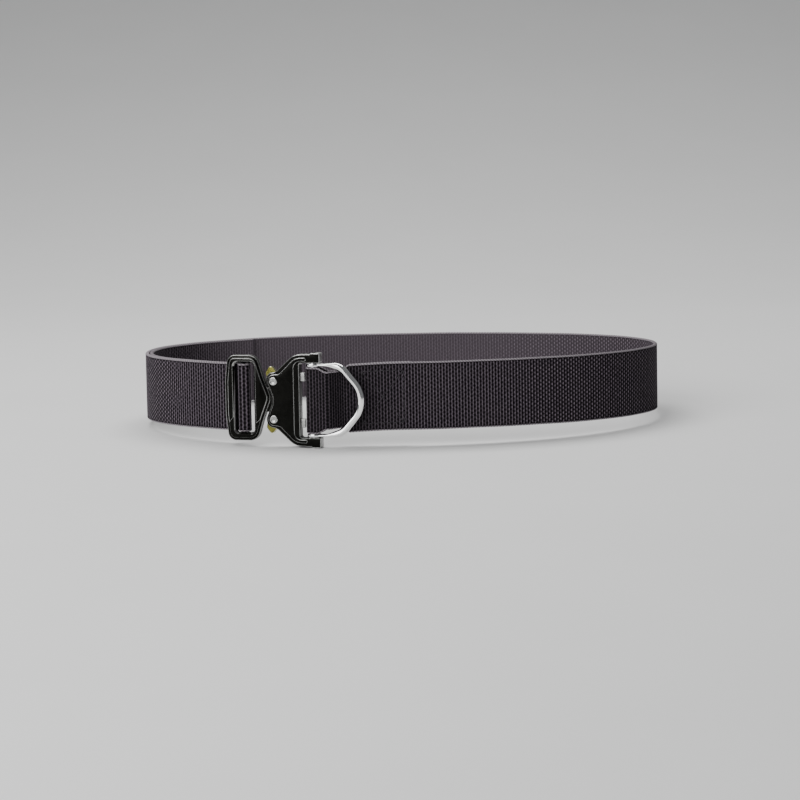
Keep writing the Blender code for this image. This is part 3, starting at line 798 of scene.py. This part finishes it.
# %% [markdown]
# ## The slider bar
# A loose bar across the window grips the webbing: pull the tail and it slides back, pull the belt
# and it jams. It is a round bar with flat ears, turned here as rings along v.

# %% Slider bar
def bar_rings(stations, u, w, sides=40):
    """Rings along v for a bar at (u, w). Each station is (v, half size in u, half size in w), in mm."""
    turns = [2 * math.pi * (k + 0.5) / sides for k in range(sides)]
    return [
        [(u + a * MM * math.cos(t), -w - b * MM * math.sin(t), v * MM) for t in turns]
        for v, a, b in stations
    ]


neck, ear = WINDOW_HALF_HEIGHT - 0.05, WINDOW_HALF_HEIGHT + SLIDER_EAR
slider_bar = piece_from("slider_bar_turned", skin(bar_rings([
    (-ear, 3.4, 0.9), (-ear + 0.15, 3.6, 1.1), (-neck, 3.6, 1.1), (-neck + 0.3, 1.5, 1.5),
    (neck - 0.3, 1.5, 1.5), (neck, 3.6, 1.1), (ear - 0.15, 3.6, 1.1), (ear, 3.4, 0.9),
], SLIDER_U, SLIDER_W)))
settle(slider_bar, frame_side, "belt", "slider_bar", "slider_bar")

# %% [markdown]
# ## Rivets
# The clips turn on two tubular rivets. Their heads are rolled over, so each shows a rounded rim,
# a shallow dish and a small dimple in the middle. A turned profile gives all three.

# %% Rivets
head_base = PLATEAU_TOP - RIVET_SEAT + BORE_PLAY
rivet_profile = [
    (1.9, -0.7), (2.35, -0.62), (2.62, -0.45), (2.75, -0.25), (2.75, 0.05), (1.9, 0.05), (1.9, head_base),
    (2.75, head_base), (2.75, head_base + 0.35), (2.68, head_base + 0.55), (2.5, head_base + 0.72),
    (2.25, head_base + 0.82), (1.95, head_base + 0.85), (1.72, head_base + 0.76), (1.5, head_base + 0.56),
    (1.25, head_base + 0.46), (0.95, head_base + 0.46), (0.75, head_base + 0.40), (0.55, head_base + 0.2),
]
for name, side in (("rivet_upper", 1), ("rivet_lower", -1)):
    v_rivet = side * RIVET_V * MM
    rings = [[(p.x, -w * MM, p.y) for p in circle(0, v_rivet, r * MM, 48)] for r, w in rivet_profile]
    settle(piece_from(name + "_turned", skin(rings)), housing_side, "belt", name, name)

# %% [markdown]
# ## Release clips
# Each clip is one stamped plate: a hook that holds the tongue, a hub round the rivet and a tab
# that the thumb presses. Only the tabs show in front, pale brass beside the black plates. The
# corners of a stamped piece are rounded, so the outline takes a small radius at each of them.

# %% Clips
clip_corners = [
    (4.3, -6.0, 0.4), (6.3, -6.0, 0.7), (6.7, -4.6, 0.8), (5.6, -1.6, 2.5), (4.3, 0.8, 2.5),
    (3.4, 4.0, 2.5), (1.4, 5.9, 2.5), (-0.9, 8.9, 1.6), (-2.3, 9.7, 1.2), (-3.6, 8.9, 1.6),
    (-5.9, 5.6, 2.5), (-4.9, 0.4, 3), (-3.2, -2.9, 2.5), (-0.5, -4.0, 2.5), (2.6, -3.6, 1.0),
]
for name, body, side in (("clip_upper", "upper_clip", 1), ("clip_lower", "lower_clip", -1)):
    corners = [(u, v_clip * side, r) for u, v_clip, r in clip_corners]
    if side < 0:
        corners.reverse()
    clip = plate(name + "_stamped", outline(corners, mirrored=False), broken(2.5, 5.4, 0.3, 0.08))
    clip_hole = plate("clip_hole", circle(0, 0, (RIVET_RADIUS + BORE_PLAY) * MM), [(0, 0), (0, 10)])
    shaped(clip, "DIFFERENCE", [clip_hole])
    clip_place = housing_side @ Matrix.Translation((0, 0, side * RIVET_V * MM))
    settle(clip, clip_place, body, name, name, rims=True)

# %% [markdown]
# ## Cross pin
# A ground steel pin runs through both arms, the ring's eyes and the webbing's fold. Its ends are
# rounded a little and sit just inside the arms.

# %% Cross pin
PIN_REACH = 30.4
pin_stations = [(1.7, 0), (2.0, 0.06), (2.18, 0.2), (2.25, 0.45)]
pin_rows = [(-PIN_REACH + d, r, r) for r, d in pin_stations]
pin_rows += [(PIN_REACH - d, r, r) for r, d in reversed(pin_stations)]
cross_pin = piece_from("cross_pin_ground", skin(bar_rings(pin_rows, PIN_U, PIN_W, 48)))
settle(cross_pin, housing_side, "belt", "cross_pin", "cross_pin")

# %% [markdown]
# ## The D-ring
# The ring is forged: two flat legs with eyes on the pin, shoulders, and a round bow. A sweep whose
# section changes from flat to round as it leaves the legs gives that, and two discs make the eyes.
# The polish shows every flat, so the sweep has many sides and short steps.

# %% Sweep of the ring
RING_REST, RING_LEG_V, RING_REACH, RING_BAR = math.radians(2.5), 22.9, 31.2, 2.35
RING_STEPS, RING_SIDES = 150, 36
upper_side = [(0, RING_LEG_V, 0), (9, RING_LEG_V, 9), (18.2, RING_LEG_V - 1.2, 12), (RING_REACH, 6.5, 17)]
ring_corners = upper_side + [(x, -y, r) for x, y, r in reversed(upper_side)]
ring_route = rounded_route([(x * MM, y * MM, r * MM) for x, y, r in ring_corners], step=math.radians(3))
ring_route = np.array([tuple(p) for p in ring_route])
ring_length = way_along(ring_route)[-1]
ring_line, ring_ahead = at_stops(ring_route, np.linspace(0, ring_length, RING_STEPS))
from_pin_mm = ring_line[:, 0] / MM
in_plane = between(from_pin_mm, [(7, 0.85 * MM), (16, RING_BAR * MM)])
through = between(from_pin_mm, [(7, 3.1 * MM), (16, RING_BAR * MM)])
squareness = between(from_pin_mm, [(7, 0.55), (17, 1.0)])
print("ring's bar is", round(ring_length / MM), "mm long")

# %% The ring's bar
sections = []
for here, ahead, thin, deep, square in zip(ring_line, ring_ahead, in_plane, through, squareness):
    section = []
    for k in range(RING_SIDES):
        turn = 2 * math.pi * (k + 0.5) / RING_SIDES
        aside, outside = (math.copysign(abs(t) ** square, t) for t in (math.cos(turn), math.sin(turn)))
        aside *= thin
        section.append((here[0] - ahead[1] * aside, deep * outside, here[1] + ahead[0] * aside))
    sections.append(section)
d_ring = piece_from("d_ring_forged", skin(sections))

# %% Eyes and their bore
EYE_RADIUS, EYE_HALF_THICK = 4.6, 0.9
eyes = []
for side in (1, -1):
    low, high = side * RING_LEG_V - EYE_HALF_THICK, side * RING_LEG_V + EYE_HALF_THICK
    steps = [(low, 0.3), (low + 0.06, 0.1), (low + 0.25, 0)]
    steps += [(high - 0.25, 0), (high - 0.06, 0.1), (high, 0.3)]
    eyes.append(turned("eye", 0, 0, [(v_eye * MM, (EYE_RADIUS - d) * MM) for v_eye, d in steps]))
shaped(d_ring, "UNION", eyes)
ring_bore = turned("ring_bore", 0, 0, [(-30 * MM, bore_radius), (30 * MM, bore_radius)])
shaped(d_ring, "DIFFERENCE", [ring_bore])
ring_place = housing_side @ Matrix.Translation((PIN_U, -PIN_W, 0)) @ Matrix.Rotation(RING_REST, 4, "Z")
settle(d_ring, ring_place, "ring", "d_ring", "d_ring")

# %% [markdown]
# ## Shader parts that several finishes share
# Fine grain on metal, wear along the broken edges, the handling marks that dull a polish, dust, and
# the yarns of the weave are node groups with named inputs. Each is built once, so one material can
# wear heavily and another hardly at all.

# %% A small kit for node groups
FLOAT, VECTOR = "NodeSocketFloat", "NodeSocketVector"


def node_group(name, inputs, outputs):
    """A new shader group, the sockets that it reads and the sockets that it fills."""
    group = bpy.data.node_groups.new(name, "ShaderNodeTree")
    for label, kind, default in inputs:
        socket = group.interface.new_socket(label, in_out="INPUT", socket_type=kind)
        if default is not None:
            socket.default_value = default
    for label in outputs:
        group.interface.new_socket(label, in_out="OUTPUT", socket_type=FLOAT)
    return group, group.nodes.new("NodeGroupInput").outputs, group.nodes.new("NodeGroupOutput").inputs


def node(tree, kind, inputs=(), **settings):
    """Adds a node, sets its properties and feeds its sockets with values or other sockets."""
    made = tree.nodes.new(kind)
    for key, value in settings.items():
        setattr(made, key, value)
    for key, value in dict(inputs).items():
        if isinstance(value, bpy.types.NodeSocket):
            tree.links.new(value, made.inputs[key])
        else:
            made.inputs[key].default_value = value
    return made


def fill(tree, sockets, **values):
    """Links each value to the socket of that name."""
    for key, value in values.items():
        tree.links.new(value, sockets[key.replace("_", " ")])


# %% Arithmetic and noise in a node tree
def maths(tree, operation, *values, clamp=False):
    """One step of arithmetic."""
    inputs = dict(enumerate(values))
    return node(tree, "ShaderNodeMath", inputs, operation=operation, use_clamp=clamp).outputs[0]


def times(tree, value, *others, clamp=False):
    """The product of several values."""
    for other in others:
        value = maths(tree, "MULTIPLY", value, other, clamp=clamp)
    return value


def smooth(tree, value, low, high, first=0.0, second=1.0):
    """A soft step from first to second while the value goes from low to high."""
    return node(tree, "ShaderNodeMapRange", {
        "Value": value, "From Min": low, "From Max": high, "To Min": first, "To Max": second,
    }, interpolation_type="SMOOTHSTEP").outputs[0]


def stretched(tree, place, by):
    """A place multiplied along each axis."""
    return node(tree, "ShaderNodeVectorMath", {0: place, 1: by}, operation="MULTIPLY").outputs[0]


def noise(tree, place, scale, detail, **more):
    """Soft noise between 0 and 1. Roughness and Distortion can be given too."""
    inputs = {"Vector": place, "Scale": scale, "Detail": detail, **more}
    return node(tree, "ShaderNodeTexNoise", inputs).outputs["Fac"]


# %% [markdown]
# ### Grain
# Bead blasting before anodising leaves a skin of tiny pits, and a ground pin keeps fine scratches.
# Noise in the piece's own space makes both; stretching it along one axis turns pits into
# scratches.

# %% Group: metal grain
grain, grain_in, grain_out = node_group("metal_grain", [
    ("Place", VECTOR, None), ("Size", FLOAT, 4000.0), ("Stretch", VECTOR, (1, 1, 1)),
], ["Height", "Mask"])
grain_place = stretched(grain, grain_in["Place"], grain_in["Stretch"])
fill(
    grain, grain_out,
    Height=noise(grain, grain_place, grain_in["Size"], 2.0, Roughness=0.6),
    Mask=smooth(grain, noise(grain, grain_place, 260.0, 3.0), 0.35, 0.68),
)

# %% [markdown]
# ### Edge wear and highlight
# Anodising rubs through first along the broken edges, and the same pale tone is a painted
# highlight on those thin flats. The meshes carry the mark of those faces, and noise breaks it up,
# so the pale line follows any outline and needs no texture painting.

# %% Group: edge wear and highlight
wear_and_highlight, wear_and_highlight_in, wear_and_highlight_out = node_group("edge_wear", [
    ("Place", VECTOR, None), ("Rim", FLOAT, 0.0), ("Amount", FLOAT, 0.5),
], ["Mask"])
patches = noise(wear_and_highlight, wear_and_highlight_in["Place"], 420.0, 4.0, Roughness=0.62)
patchy_wear_and_highlight = smooth(wear_and_highlight, patches, 0.24, 0.50, 0.35, 1.0)
fill(wear_and_highlight, wear_and_highlight_out, Mask=times(wear_and_highlight, patchy_wear_and_highlight, wear_and_highlight_in["Amount"], wear_and_highlight_in["Rim"], clamp=True))

# %% [markdown]
# ### Handling and dust
# Fingers leave soft dull areas on metal, and dust lies wherever a surface faces up. Both are low
# in contrast: they only make sure that no surface is the same all over.

# %% Groups: handling marks and dust
handling, handling_in, handling_out = node_group("handling_marks", [
    ("Place", VECTOR, None), ("Size", FLOAT, 90.0),
], ["Mask"])
blotch = noise(handling, handling_in["Place"], handling_in["Size"], 5.0, Roughness=0.55, Distortion=0.6)
fill(handling, handling_out, Mask=smooth(handling, blotch, 0.34, 0.70))

dust, dust_in, dust_out = node_group("dust", [("Place", VECTOR, None), ("Amount", FLOAT, 0.3)], ["Mask"])
facing = node(dust, "ShaderNodeNewGeometry").outputs["Normal"]
facing_up = smooth(dust, node(dust, "ShaderNodeSeparateXYZ", {0: facing}).outputs["Z"], 0.35, 0.95)
specks = smooth(dust, noise(dust, dust_in["Place"], 1500.0, 3.0, Roughness=0.7), 0.42, 0.66)
fill(dust, dust_out, Mask=times(dust, facing_up, specks, dust_in["Amount"]))

# %% [markdown]
# ### Yarn
# The ribs are geometry, and this group adds what is too fine for it: filaments that run along
# each warp yarn, the tops of the ribs for a painted highlight, ribs that differ a little from each
# other, the strands of the selvedge cord, and the darkness down in the dashes, where light hardly
# reaches. It reads the strip's UV, which is in millimetres, so each mask sits exactly on the relief
# below it.

# %% Group: yarn
yarn, yarn_in, yarn_out = node_group("yarn", [
    ("Strip", VECTOR, None), ("Side", FLOAT, 1.0), ("Bend", FLOAT, 0.0),
], ["Dash", "Rib", "Shade", "Filament", "Selvedge", "Patch"])
strip_uv = node(yarn, "ShaderNodeSeparateXYZ", {0: yarn_in["Strip"]}).outputs
along_strip, up_strip = strip_uv["X"], strip_uv["Y"]
distance_up = maths(yarn, "ABSOLUTE", up_strip)


def wave(kind, value, length):
    """A wave of this length along a value of the strip."""
    return maths(yarn, kind, times(yarn, value, 2 * math.pi / (length / MM)))


def strip_noise(by, detail, **more):
    """Noise over the strip, stretched along it and up it."""
    return noise(yarn, stretched(yarn, yarn_in["Strip"], by), 1.0, detail, **more)


# %% Masks of the face: dashes, and the tops of the ribs
selvedge_mask = smooth(yarn, distance_up, 21.1, 21.4)
face_mask = maths(yarn, "SUBTRACT", 1.0, selvedge_mask)
up_wave = wave("COSINE", up_strip, 2 * YARN_PITCH)
bridge = times(yarn, wave("COSINE", along_strip, 2 * WEFT_PITCH), up_wave, yarn_in["Side"])
hollow = wave("COSINE", along_strip, WEFT_PITCH)
depth = times(yarn, maths(yarn, "SUBTRACT", hollow, bridge), 0.5)
edge_row = times(yarn, smooth(yarn, distance_up, 20.2, 20.6), smooth(yarn, hollow, -0.7, 0.3, 0.35, 1.0))
dashes = maths(yarn, "MAXIMUM", smooth(yarn, depth, 0.05, 0.62), edge_row)

# Where the strip bends, each rib breaks up into knots.
knots = times(yarn, wave("SINE", along_strip, 2 * WEFT_PITCH), up_wave, 0.65)
knots = maths(yarn, "SUBTRACT", knots, 0.25)
rib_height = maths(yarn, "SUBTRACT", times(yarn, bridge, 0.68), hollow)
rib_height = maths(yarn, "MULTIPLY_ADD", knots, yarn_in["Bend"], rib_height)
uneven = smooth(yarn, strip_noise((0.42, 0.61, 1), 2.0, Roughness=0.7), 0.36, 0.60, 0.45, 1.0)
rib_top = times(yarn, smooth(yarn, rib_height, 0.10, 1.0), uneven)

# %% Masks of the selvedge and the noises
slant = maths(yarn, "MULTIPLY_ADD", along_strip, math.pi, times(yarn, distance_up, 3.0))
strands = smooth(yarn, maths(yarn, "SINE", slant), -0.8, 0.6, 0.45, 1.0)
fill(
    yarn, yarn_out,
    Dash=times(yarn, dashes, face_mask),
    Rib=times(yarn, rib_top, face_mask),
    Shade=strip_noise((0.31, 0.53, 1), 1.0),
    Filament=strip_noise((0.8, 7.5, 1), 3.0, Roughness=0.6),
    Selvedge=times(yarn, selvedge_mask, strands),
    Patch=strip_noise((0.022, 0.06, 1), 3.0),
)
print("groups:", [group.name for group in bpy.data.node_groups])

# %% [markdown]
# ## Finishes
# Every finish is one Principled shader fed by those groups. Its colour starts as one tone, and
# others are laid over it by masks, like coats of paint.

# %% Starting a material
def start_material(name, **constants):
    """A new material, its node tree and its shader's sockets."""
    material = bpy.data.materials.new(name)
    material.use_nodes = True
    tree = material.node_tree
    sockets = tree.nodes["Principled BSDF"].inputs
    for key, value in constants.items():
        sockets[key.replace("_", " ")].default_value = value
    return material, tree, sockets


def use_group(tree, group, **inputs):
    """Places a group in a material, and gives what it puts out."""
    return node(tree, "ShaderNodeGroup", inputs, node_tree=group).outputs


def layered(tree, tone, *layers):
    """A colour with others laid over it. Each layer is (share, colour)."""
    for share, colour in layers:
        tone = node(tree, "ShaderNodeMix", {0: share, 6: tone, 7: colour}, data_type="RGBA").outputs[2]
    return tone


def bump(tree, height, distance, strength):
    """A normal from a height."""
    inputs = {"Height": height, "Distance": distance, "Strength": strength}
    return node(tree, "ShaderNodeBump", inputs).outputs[0]


def own_place(tree):
    """The place in the piece's own space."""
    return node(tree, "ShaderNodeTexCoord").outputs["Object"]


def carried(tree, name):
    """A number that the mesh carries."""
    return node(tree, "ShaderNodeAttribute", attribute_name=name).outputs["Fac"]


# %% [markdown]
# ### Webbing
# Black nylon is not black in the light: its ribs are painted a warm grey with a faint purple cast,
# a painted highlight on their tops, and only the dashes between them, in painted shade, are nearly
# black. Where the loop bends most, at both its ends, the ribs spread and stand apart as single
# knots, painted paler still as a highlight. The inner face is smoother from the wearer's clothes and
# its dashes are filled with lint, and so are the fold and the tail towards their ends; the inner
# face is also painted paler for the light that it catches, less so near the right end, as painted
# shade there. Past the pin, where the cloth curves away behind the ring, it is darkened as painted
# shade. A sheen lobe gives the soft glow of fibres seen at a low angle, and the selvedge cord is
# tighter and painted lighter along both edges as a highlight.

# %% Where along the strip its looks change
webbing_cloth, tree, sockets = start_material(
    "webbing_nylon", Specular_IOR_Level=0.06, Sheen_Weight=0.03, Sheen_Roughness=0.4,
)
strip_place = node(tree, "ShaderNodeUVMap", uv_map="strip").outputs["UV"]
cloth_along = node(tree, "ShaderNodeSeparateXYZ", {0: strip_place}).outputs["X"]
cloth_side = carried(tree, "side")
left_ring = int(np.argmin(plan[:slider_ring, 0]))
pin_at, right_at, left_at, tail_at = (travel[ring] / MM for ring in (pin_ring, right_ring, left_ring, -1))


def near(middle_at, outside, inside):
    """1 within a distance of a place on the strip, and 0 outside another, in mm."""
    distance = maths(tree, "ABSOLUTE", maths(tree, "SUBTRACT", cloth_along, middle_at))
    return smooth(tree, distance, outside, inside)


bend_here = maths(tree, "ADD", near(right_at, 195.0, 105.0), near(left_at, 82.0, 40.0))
# The inner face is painted paler, partly as lint and partly as painted light, with less of it near the
# right end as painted shade. The fold's and the tail's ends are paler with lint.
inner_face = smooth(tree, cloth_side, 0.0, -0.6)
painted_light_towards_back = smooth(tree, cloth_along, right_at, right_at + 170, 0.50, 1.0)
on_tail = smooth(tree, cloth_along, tail_at - 70, tail_at + 8)
on_fold = smooth(tree, cloth_along, 50.0, 0.0)
lint_and_painted_light = maths(tree, "MAXIMUM", times(tree, inner_face, painted_light_towards_back), maths(tree, "ADD", on_tail, on_fold))
# Past the pin the cloth is darkened as painted shade, where it curves away behind the ring.
past_pin = smooth(tree, cloth_along, pin_at - 2, pin_at + 3)
painted_shade_past_pin = times(tree, past_pin, smooth(tree, cloth_along, 160.0, 98.0, 0.0, 0.52))
print("most bent at", round(right_at), "and", round(left_at), "mm; pin at", round(pin_at), "mm")

# %% Material: webbing
DARK_YARN, LIGHT_YARN = (0.010, 0.0080, 0.0105, 1), (0.021, 0.0172, 0.022, 1)
FADED_YARN, DASH_SHADOW = (0.019, 0.0155, 0.0185, 1), (0.0010, 0.0006, 0.0011, 1)
# Rib tops are painted lighter as a highlight, and lighter again where the loop bends; the dashes are
# painted shade.
RIB_TOP_HIGHLIGHT, BENT_RIB_HIGHLIGHT = (0.122, 0.102, 0.121, 1), (0.205, 0.171, 0.203, 1)
# This pale tone is lint on the fold and the tail, and both lint and painted light on the inner face.
LINT_AND_LIGHT_TONE, LINT_AND_LIGHT_SHARE = (0.105, 0.087, 0.102, 1), 0.55
# The selvedge cord is painted lighter along both edges as a highlight.
PIN_SHADE_TONE, CORD_HIGHLIGHT_TONE = (0.0040, 0.0034, 0.0041, 1), (0.250, 0.225, 0.246, 1)
CLOTH_DUST_TONE, CLOTH_DUST = (0.30, 0.28, 0.28, 1), 0.18

cloth = use_group(tree, yarn, Strip=strip_place, Side=cloth_side, Bend=bend_here)
fill(
    tree, sockets,
    Base_Color=layered(
        tree, DARK_YARN,
        (smooth(tree, cloth["Shade"], 0.3, 0.7), LIGHT_YARN),
        (smooth(tree, cloth["Patch"], 0.35, 0.7), FADED_YARN),
        (cloth["Rib"], layered(tree, RIB_TOP_HIGHLIGHT, (bend_here, BENT_RIB_HIGHLIGHT))),
        (cloth["Dash"], DASH_SHADOW),
        (times(tree, lint_and_painted_light, LINT_AND_LIGHT_SHARE), LINT_AND_LIGHT_TONE),
        (painted_shade_past_pin, PIN_SHADE_TONE),
        (cloth["Selvedge"], CORD_HIGHLIGHT_TONE),
        (use_group(tree, dust, Place=own_place(tree), Amount=CLOTH_DUST)["Mask"], CLOTH_DUST_TONE),
    ),
    Roughness=smooth(tree, cloth["Filament"], 0.3, 0.7, 0.70, 0.92),
    Normal=bump(tree, cloth["Filament"], 0.12 * MM, 0.7),
)

# %% [markdown]
# ### Thread
# The stitches are bonded nylon thread: smoother than the webbing, so they catch a little more
# light. Fine noise stands in for the twist of their plies.

# %% Material: thread
THREAD_DARK, THREAD_LIGHT = (0.015, 0.0132, 0.0153, 1), (0.038, 0.033, 0.039, 1)
bonded_thread, tree, sockets = start_material("bonded_thread", Specular_IOR_Level=0.3)
plies = noise(tree, own_place(tree), 2600.0, 2.0)
fill(
    tree, sockets,
    Base_Color=layered(tree, THREAD_DARK, (smooth(tree, plies, 0.35, 0.65), THREAD_LIGHT)),
    Roughness=smooth(tree, plies, 0.3, 0.7, 0.45, 0.65),
    Normal=bump(tree, plies, 0.08 * MM, 0.6),
)

# %% [markdown]
# ### Metal
# All the metals are made alike: a grain in the skin, paler metal along the broken edges as wear
# and as a painted highlight, dull places from handling, and dust. They differ in colour, polish
# and grain.

# %% How a metal is made
METAL_DUST_TONE, GRAIN_CONTRAST = (0.42, 0.40, 0.37, 1), 1.35


def metal(
    name, tone, wear_and_highlight_tone, metallic, rough, wear_and_highlight_amount, grain_size,
    stretch=(1, 1, 1), grain_depth=0.02, dusty=0.2,
):
    """A metal of this tone, paler on its broken edges as wear and as a painted highlight. The grain's
    depth is in mm.
    """
    material, tree, sockets = start_material(name)
    place = own_place(tree)
    surface = use_group(tree, grain, Place=place, Size=grain_size, Stretch=stretch)
    # Broken edges take a paler tone, as wear and as a painted highlight.
    rim = use_group(tree, wear_and_highlight, Place=place, Rim=carried(tree, "rim"), Amount=wear_and_highlight_amount)["Mask"]
    touched = use_group(tree, handling, Place=place)["Mask"]
    settled = use_group(tree, dust, Place=place, Amount=dusty)["Mask"]
    paler = [c * GRAIN_CONTRAST for c in tone[:3]] + [1]
    dull = smooth(tree, touched, 0.0, 1.0, rough * 0.85, rough * 1.25)
    fill(
        tree, sockets,
        Base_Color=layered(tree, tone, (surface["Mask"], paler), (rim, wear_and_highlight_tone), (settled, METAL_DUST_TONE)),
        Roughness=maths(tree, "MULTIPLY_ADD", settled, 0.4, dull),
        Metallic=maths(tree, "SUBTRACT", metallic, times(tree, settled, 0.5), clamp=True),
        Normal=bump(tree, surface["Height"], grain_depth * MM, 0.6),
    )
    return material


# %% [markdown]
# The plates are blasted and anodised: satin black with a fine grain, and pale along the edges as
# wear and as a painted highlight. Pale aluminium is a painted highlight on the arms' ends, and also
# serves the lugs. The ring is polished and the pin is ground along its length; the rivets are plated
# and a little softer, and the clips are satin brass, darkened as painted shade.

# %% Materials: aluminium, steel and brass
anodised = metal(
    "black_anodised", tone=(0.0055, 0.0055, 0.0048, 1), wear_and_highlight_tone=(0.50, 0.50, 0.49, 1),
    metallic=0.97, rough=0.30, wear_and_highlight_amount=0.7, grain_size=5200.0,
)
bare_aluminium = metal(
    "bare_aluminium", tone=(0.34, 0.34, 0.335, 1), wear_and_highlight_tone=(0.60, 0.60, 0.59, 1),
    metallic=0.95, rough=0.36, wear_and_highlight_amount=0.6, grain_size=3600.0,
)
polished_steel = metal(
    "polished_steel", tone=(0.95, 0.95, 0.94, 1), wear_and_highlight_tone=(0.98, 0.98, 0.97, 1),
    metallic=1.0, rough=0.085, wear_and_highlight_amount=0.3, grain_size=2200.0, grain_depth=0.006, dusty=0.04,
)
ground_steel = metal(
    "ground_steel", tone=(0.46, 0.46, 0.47, 1), wear_and_highlight_tone=(0.6, 0.6, 0.6, 1),
    metallic=1.0, rough=0.28, wear_and_highlight_amount=0.3, grain_size=3500.0, stretch=(1, 1, 0.06), grain_depth=0.01,
)
plated_rivet = metal(
    "plated_rivet", tone=(0.34, 0.34, 0.33, 1), wear_and_highlight_tone=(0.66, 0.66, 0.65, 1),
    metallic=1.0, rough=0.22, wear_and_highlight_amount=0.4, grain_size=3200.0,
)
# The brass is darkened as painted shade, and its broken edges are painted pale as a highlight.
satin_brass = metal(
    "satin_brass", tone=(0.150, 0.141, 0.033, 1), wear_and_highlight_tone=(1.0, 0.97, 0.70, 1),
    metallic=0.95, rough=0.20, wear_and_highlight_amount=1.0, grain_size=3800.0, dusty=0.06,
)

# %% [markdown]
# A piece's name starts with the name of the CAD solid that it stands for, so one table gives both
# the pieces and the hidden solids their finish.

# %% Finishes of the pieces and the hidden solids
finishes = {
    "webbing": webbing_cloth, "stitches": bonded_thread, "housing": anodised, "tongue_frame": anodised,
    "slider_bar": anodised, "cross_pin": ground_steel, "d_ring": polished_steel, "rivet": plated_rivet,
    "clip": satin_brass,
}
for piece in bpy.data.objects:
    for start, material in finishes.items():
        if piece.type == "MESH" and piece.name.startswith(start):
            piece.data.materials.clear()
            piece.data.materials.append(material)
print("materials:", {material.name: material.users for material in finishes.values()})

# %% [markdown]
# The arms' ends take a pale metal as a painted highlight, and the two lugs in the slot take the
# same pale metal. They are faces of the housing, so they take a second material slot, picked by
# where a face lies and which way it looks.

# %% Pale faces of the housing
ARM_END_U, ARM_LOW_V, LOOKS_OUT = 25.4, 24, 0.35
LUG_U, LUG_V, LUG_W = (17.35, 20.5), (12.1, 18.1), (2.1, 4.7)
housing.data.materials.append(bare_aluminium)
pale_faces = 0
for polygon in housing.data.polygons:
    u_face, w_face, v_face = polygon.center / MM * Vector((1, -1, 1))
    looks_out = max(polygon.normal.x, polygon.normal.z * math.copysign(1, v_face)) > LOOKS_OUT
    on_arm_end = u_face > ARM_END_U and abs(v_face) > ARM_LOW_V and looks_out
    place_and_lug = ((u_face, LUG_U), (abs(v_face), LUG_V), (w_face, LUG_W))
    on_lug = all(low < value < high for value, (low, high) in place_and_lug)
    if on_arm_end or on_lug:
        polygon.material_index = 1
        pale_faces += 1
print(pale_faces, "pale faces")

# %% [markdown]
# ## Floor and light
# A pale sweep stands in for a studio table. The key is one large soft box that stands on the left
# and reaches almost down to the floor, because the ring's bow mirrors what stands in front of it.
# A long light above draws the top edges, and there is none on the right, where the photo is dark.

# %% Floor
SWEEP_START, SWEEP_RADIUS, SWEEP_STEPS = 0.6, 2.4, 40
FLOOR_FRONT, FLOOR_HALF_WIDTH, WALL_HEIGHT = -3.0, 3.5, 4.0
profile = [(FLOOR_FRONT, 0.0)]
for turn in np.linspace(0, math.pi / 2, SWEEP_STEPS):
    profile.append((SWEEP_START + SWEEP_RADIUS * math.sin(turn), SWEEP_RADIUS * (1 - math.cos(turn))))
profile.append((SWEEP_START + SWEEP_RADIUS, WALL_HEIGHT))
floor_bm = bmesh.new()
left_edge, right_edge = (
    [floor_bm.verts.new((x, y, z)) for y, z in profile] for x in (-FLOOR_HALF_WIDTH, FLOOR_HALF_WIDTH)
)
for corners in zip(left_edge, left_edge[1:], right_edge[1:], right_edge):
    floor_bm.faces.new(corners).smooth = True
floor = piece_from("floor", floor_bm)
floor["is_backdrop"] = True

FLOOR_TONE, FLOOR_PALER = (0.74, 0.74, 0.735, 1), (0.78, 0.78, 0.775, 1)
pale_floor, tree, sockets = start_material("pale_floor", Roughness=0.75)
mottle = noise(tree, own_place(tree), 9.0, 4.0)
fill(tree, sockets, Base_Color=layered(tree, FLOOR_TONE, (mottle, FLOOR_PALER)))
floor.data.materials.append(pale_floor)
print("floor has", triangles_in(floor.data), "triangles")

# %% Lights
LIGHTS_AIM = Vector((0, 0, 0.03))


def soft_light(name, where, size, power):
    """A rectangular light that looks at the belt."""
    data = bpy.data.lights.new(name, "AREA")
    data.shape, data.energy = "RECTANGLE", power
    data.size, data.size_y = size
    light = add_object(name, data)
    light.location = where
    light.rotation_euler = (LIGHTS_AIM - Vector(where)).to_track_quat("-Z", "Y").to_euler()
    print(name, "light:", power, "W")


soft_light("key", (-0.85, -1.00, 0.78), (1.4, 1.3), 24)
soft_light("top", (-0.1, 0.40, 1.3), (1.6, 0.6), 20)
world = bpy.data.worlds.new("studio")
bpy.context.scene.world = world
world.use_nodes = True
sky = world.node_tree.nodes["Background"].inputs
sky["Color"].default_value = (0.92, 0.94, 0.96, 1)
sky["Strength"].default_value = 0.16

# %% [markdown]
# ## Sizes
# The dressed belt's box is set against the CAD model's box, and how far it has grown is printed.

# %% Compare the boxes
looks_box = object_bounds()
grown = [(b - a) / MM for ca, cb in zip(cad_box, looks_box) for a, b in zip(ca, cb)]
print("visual minus CAD, mm:", [round(c, 2) for c in grown])
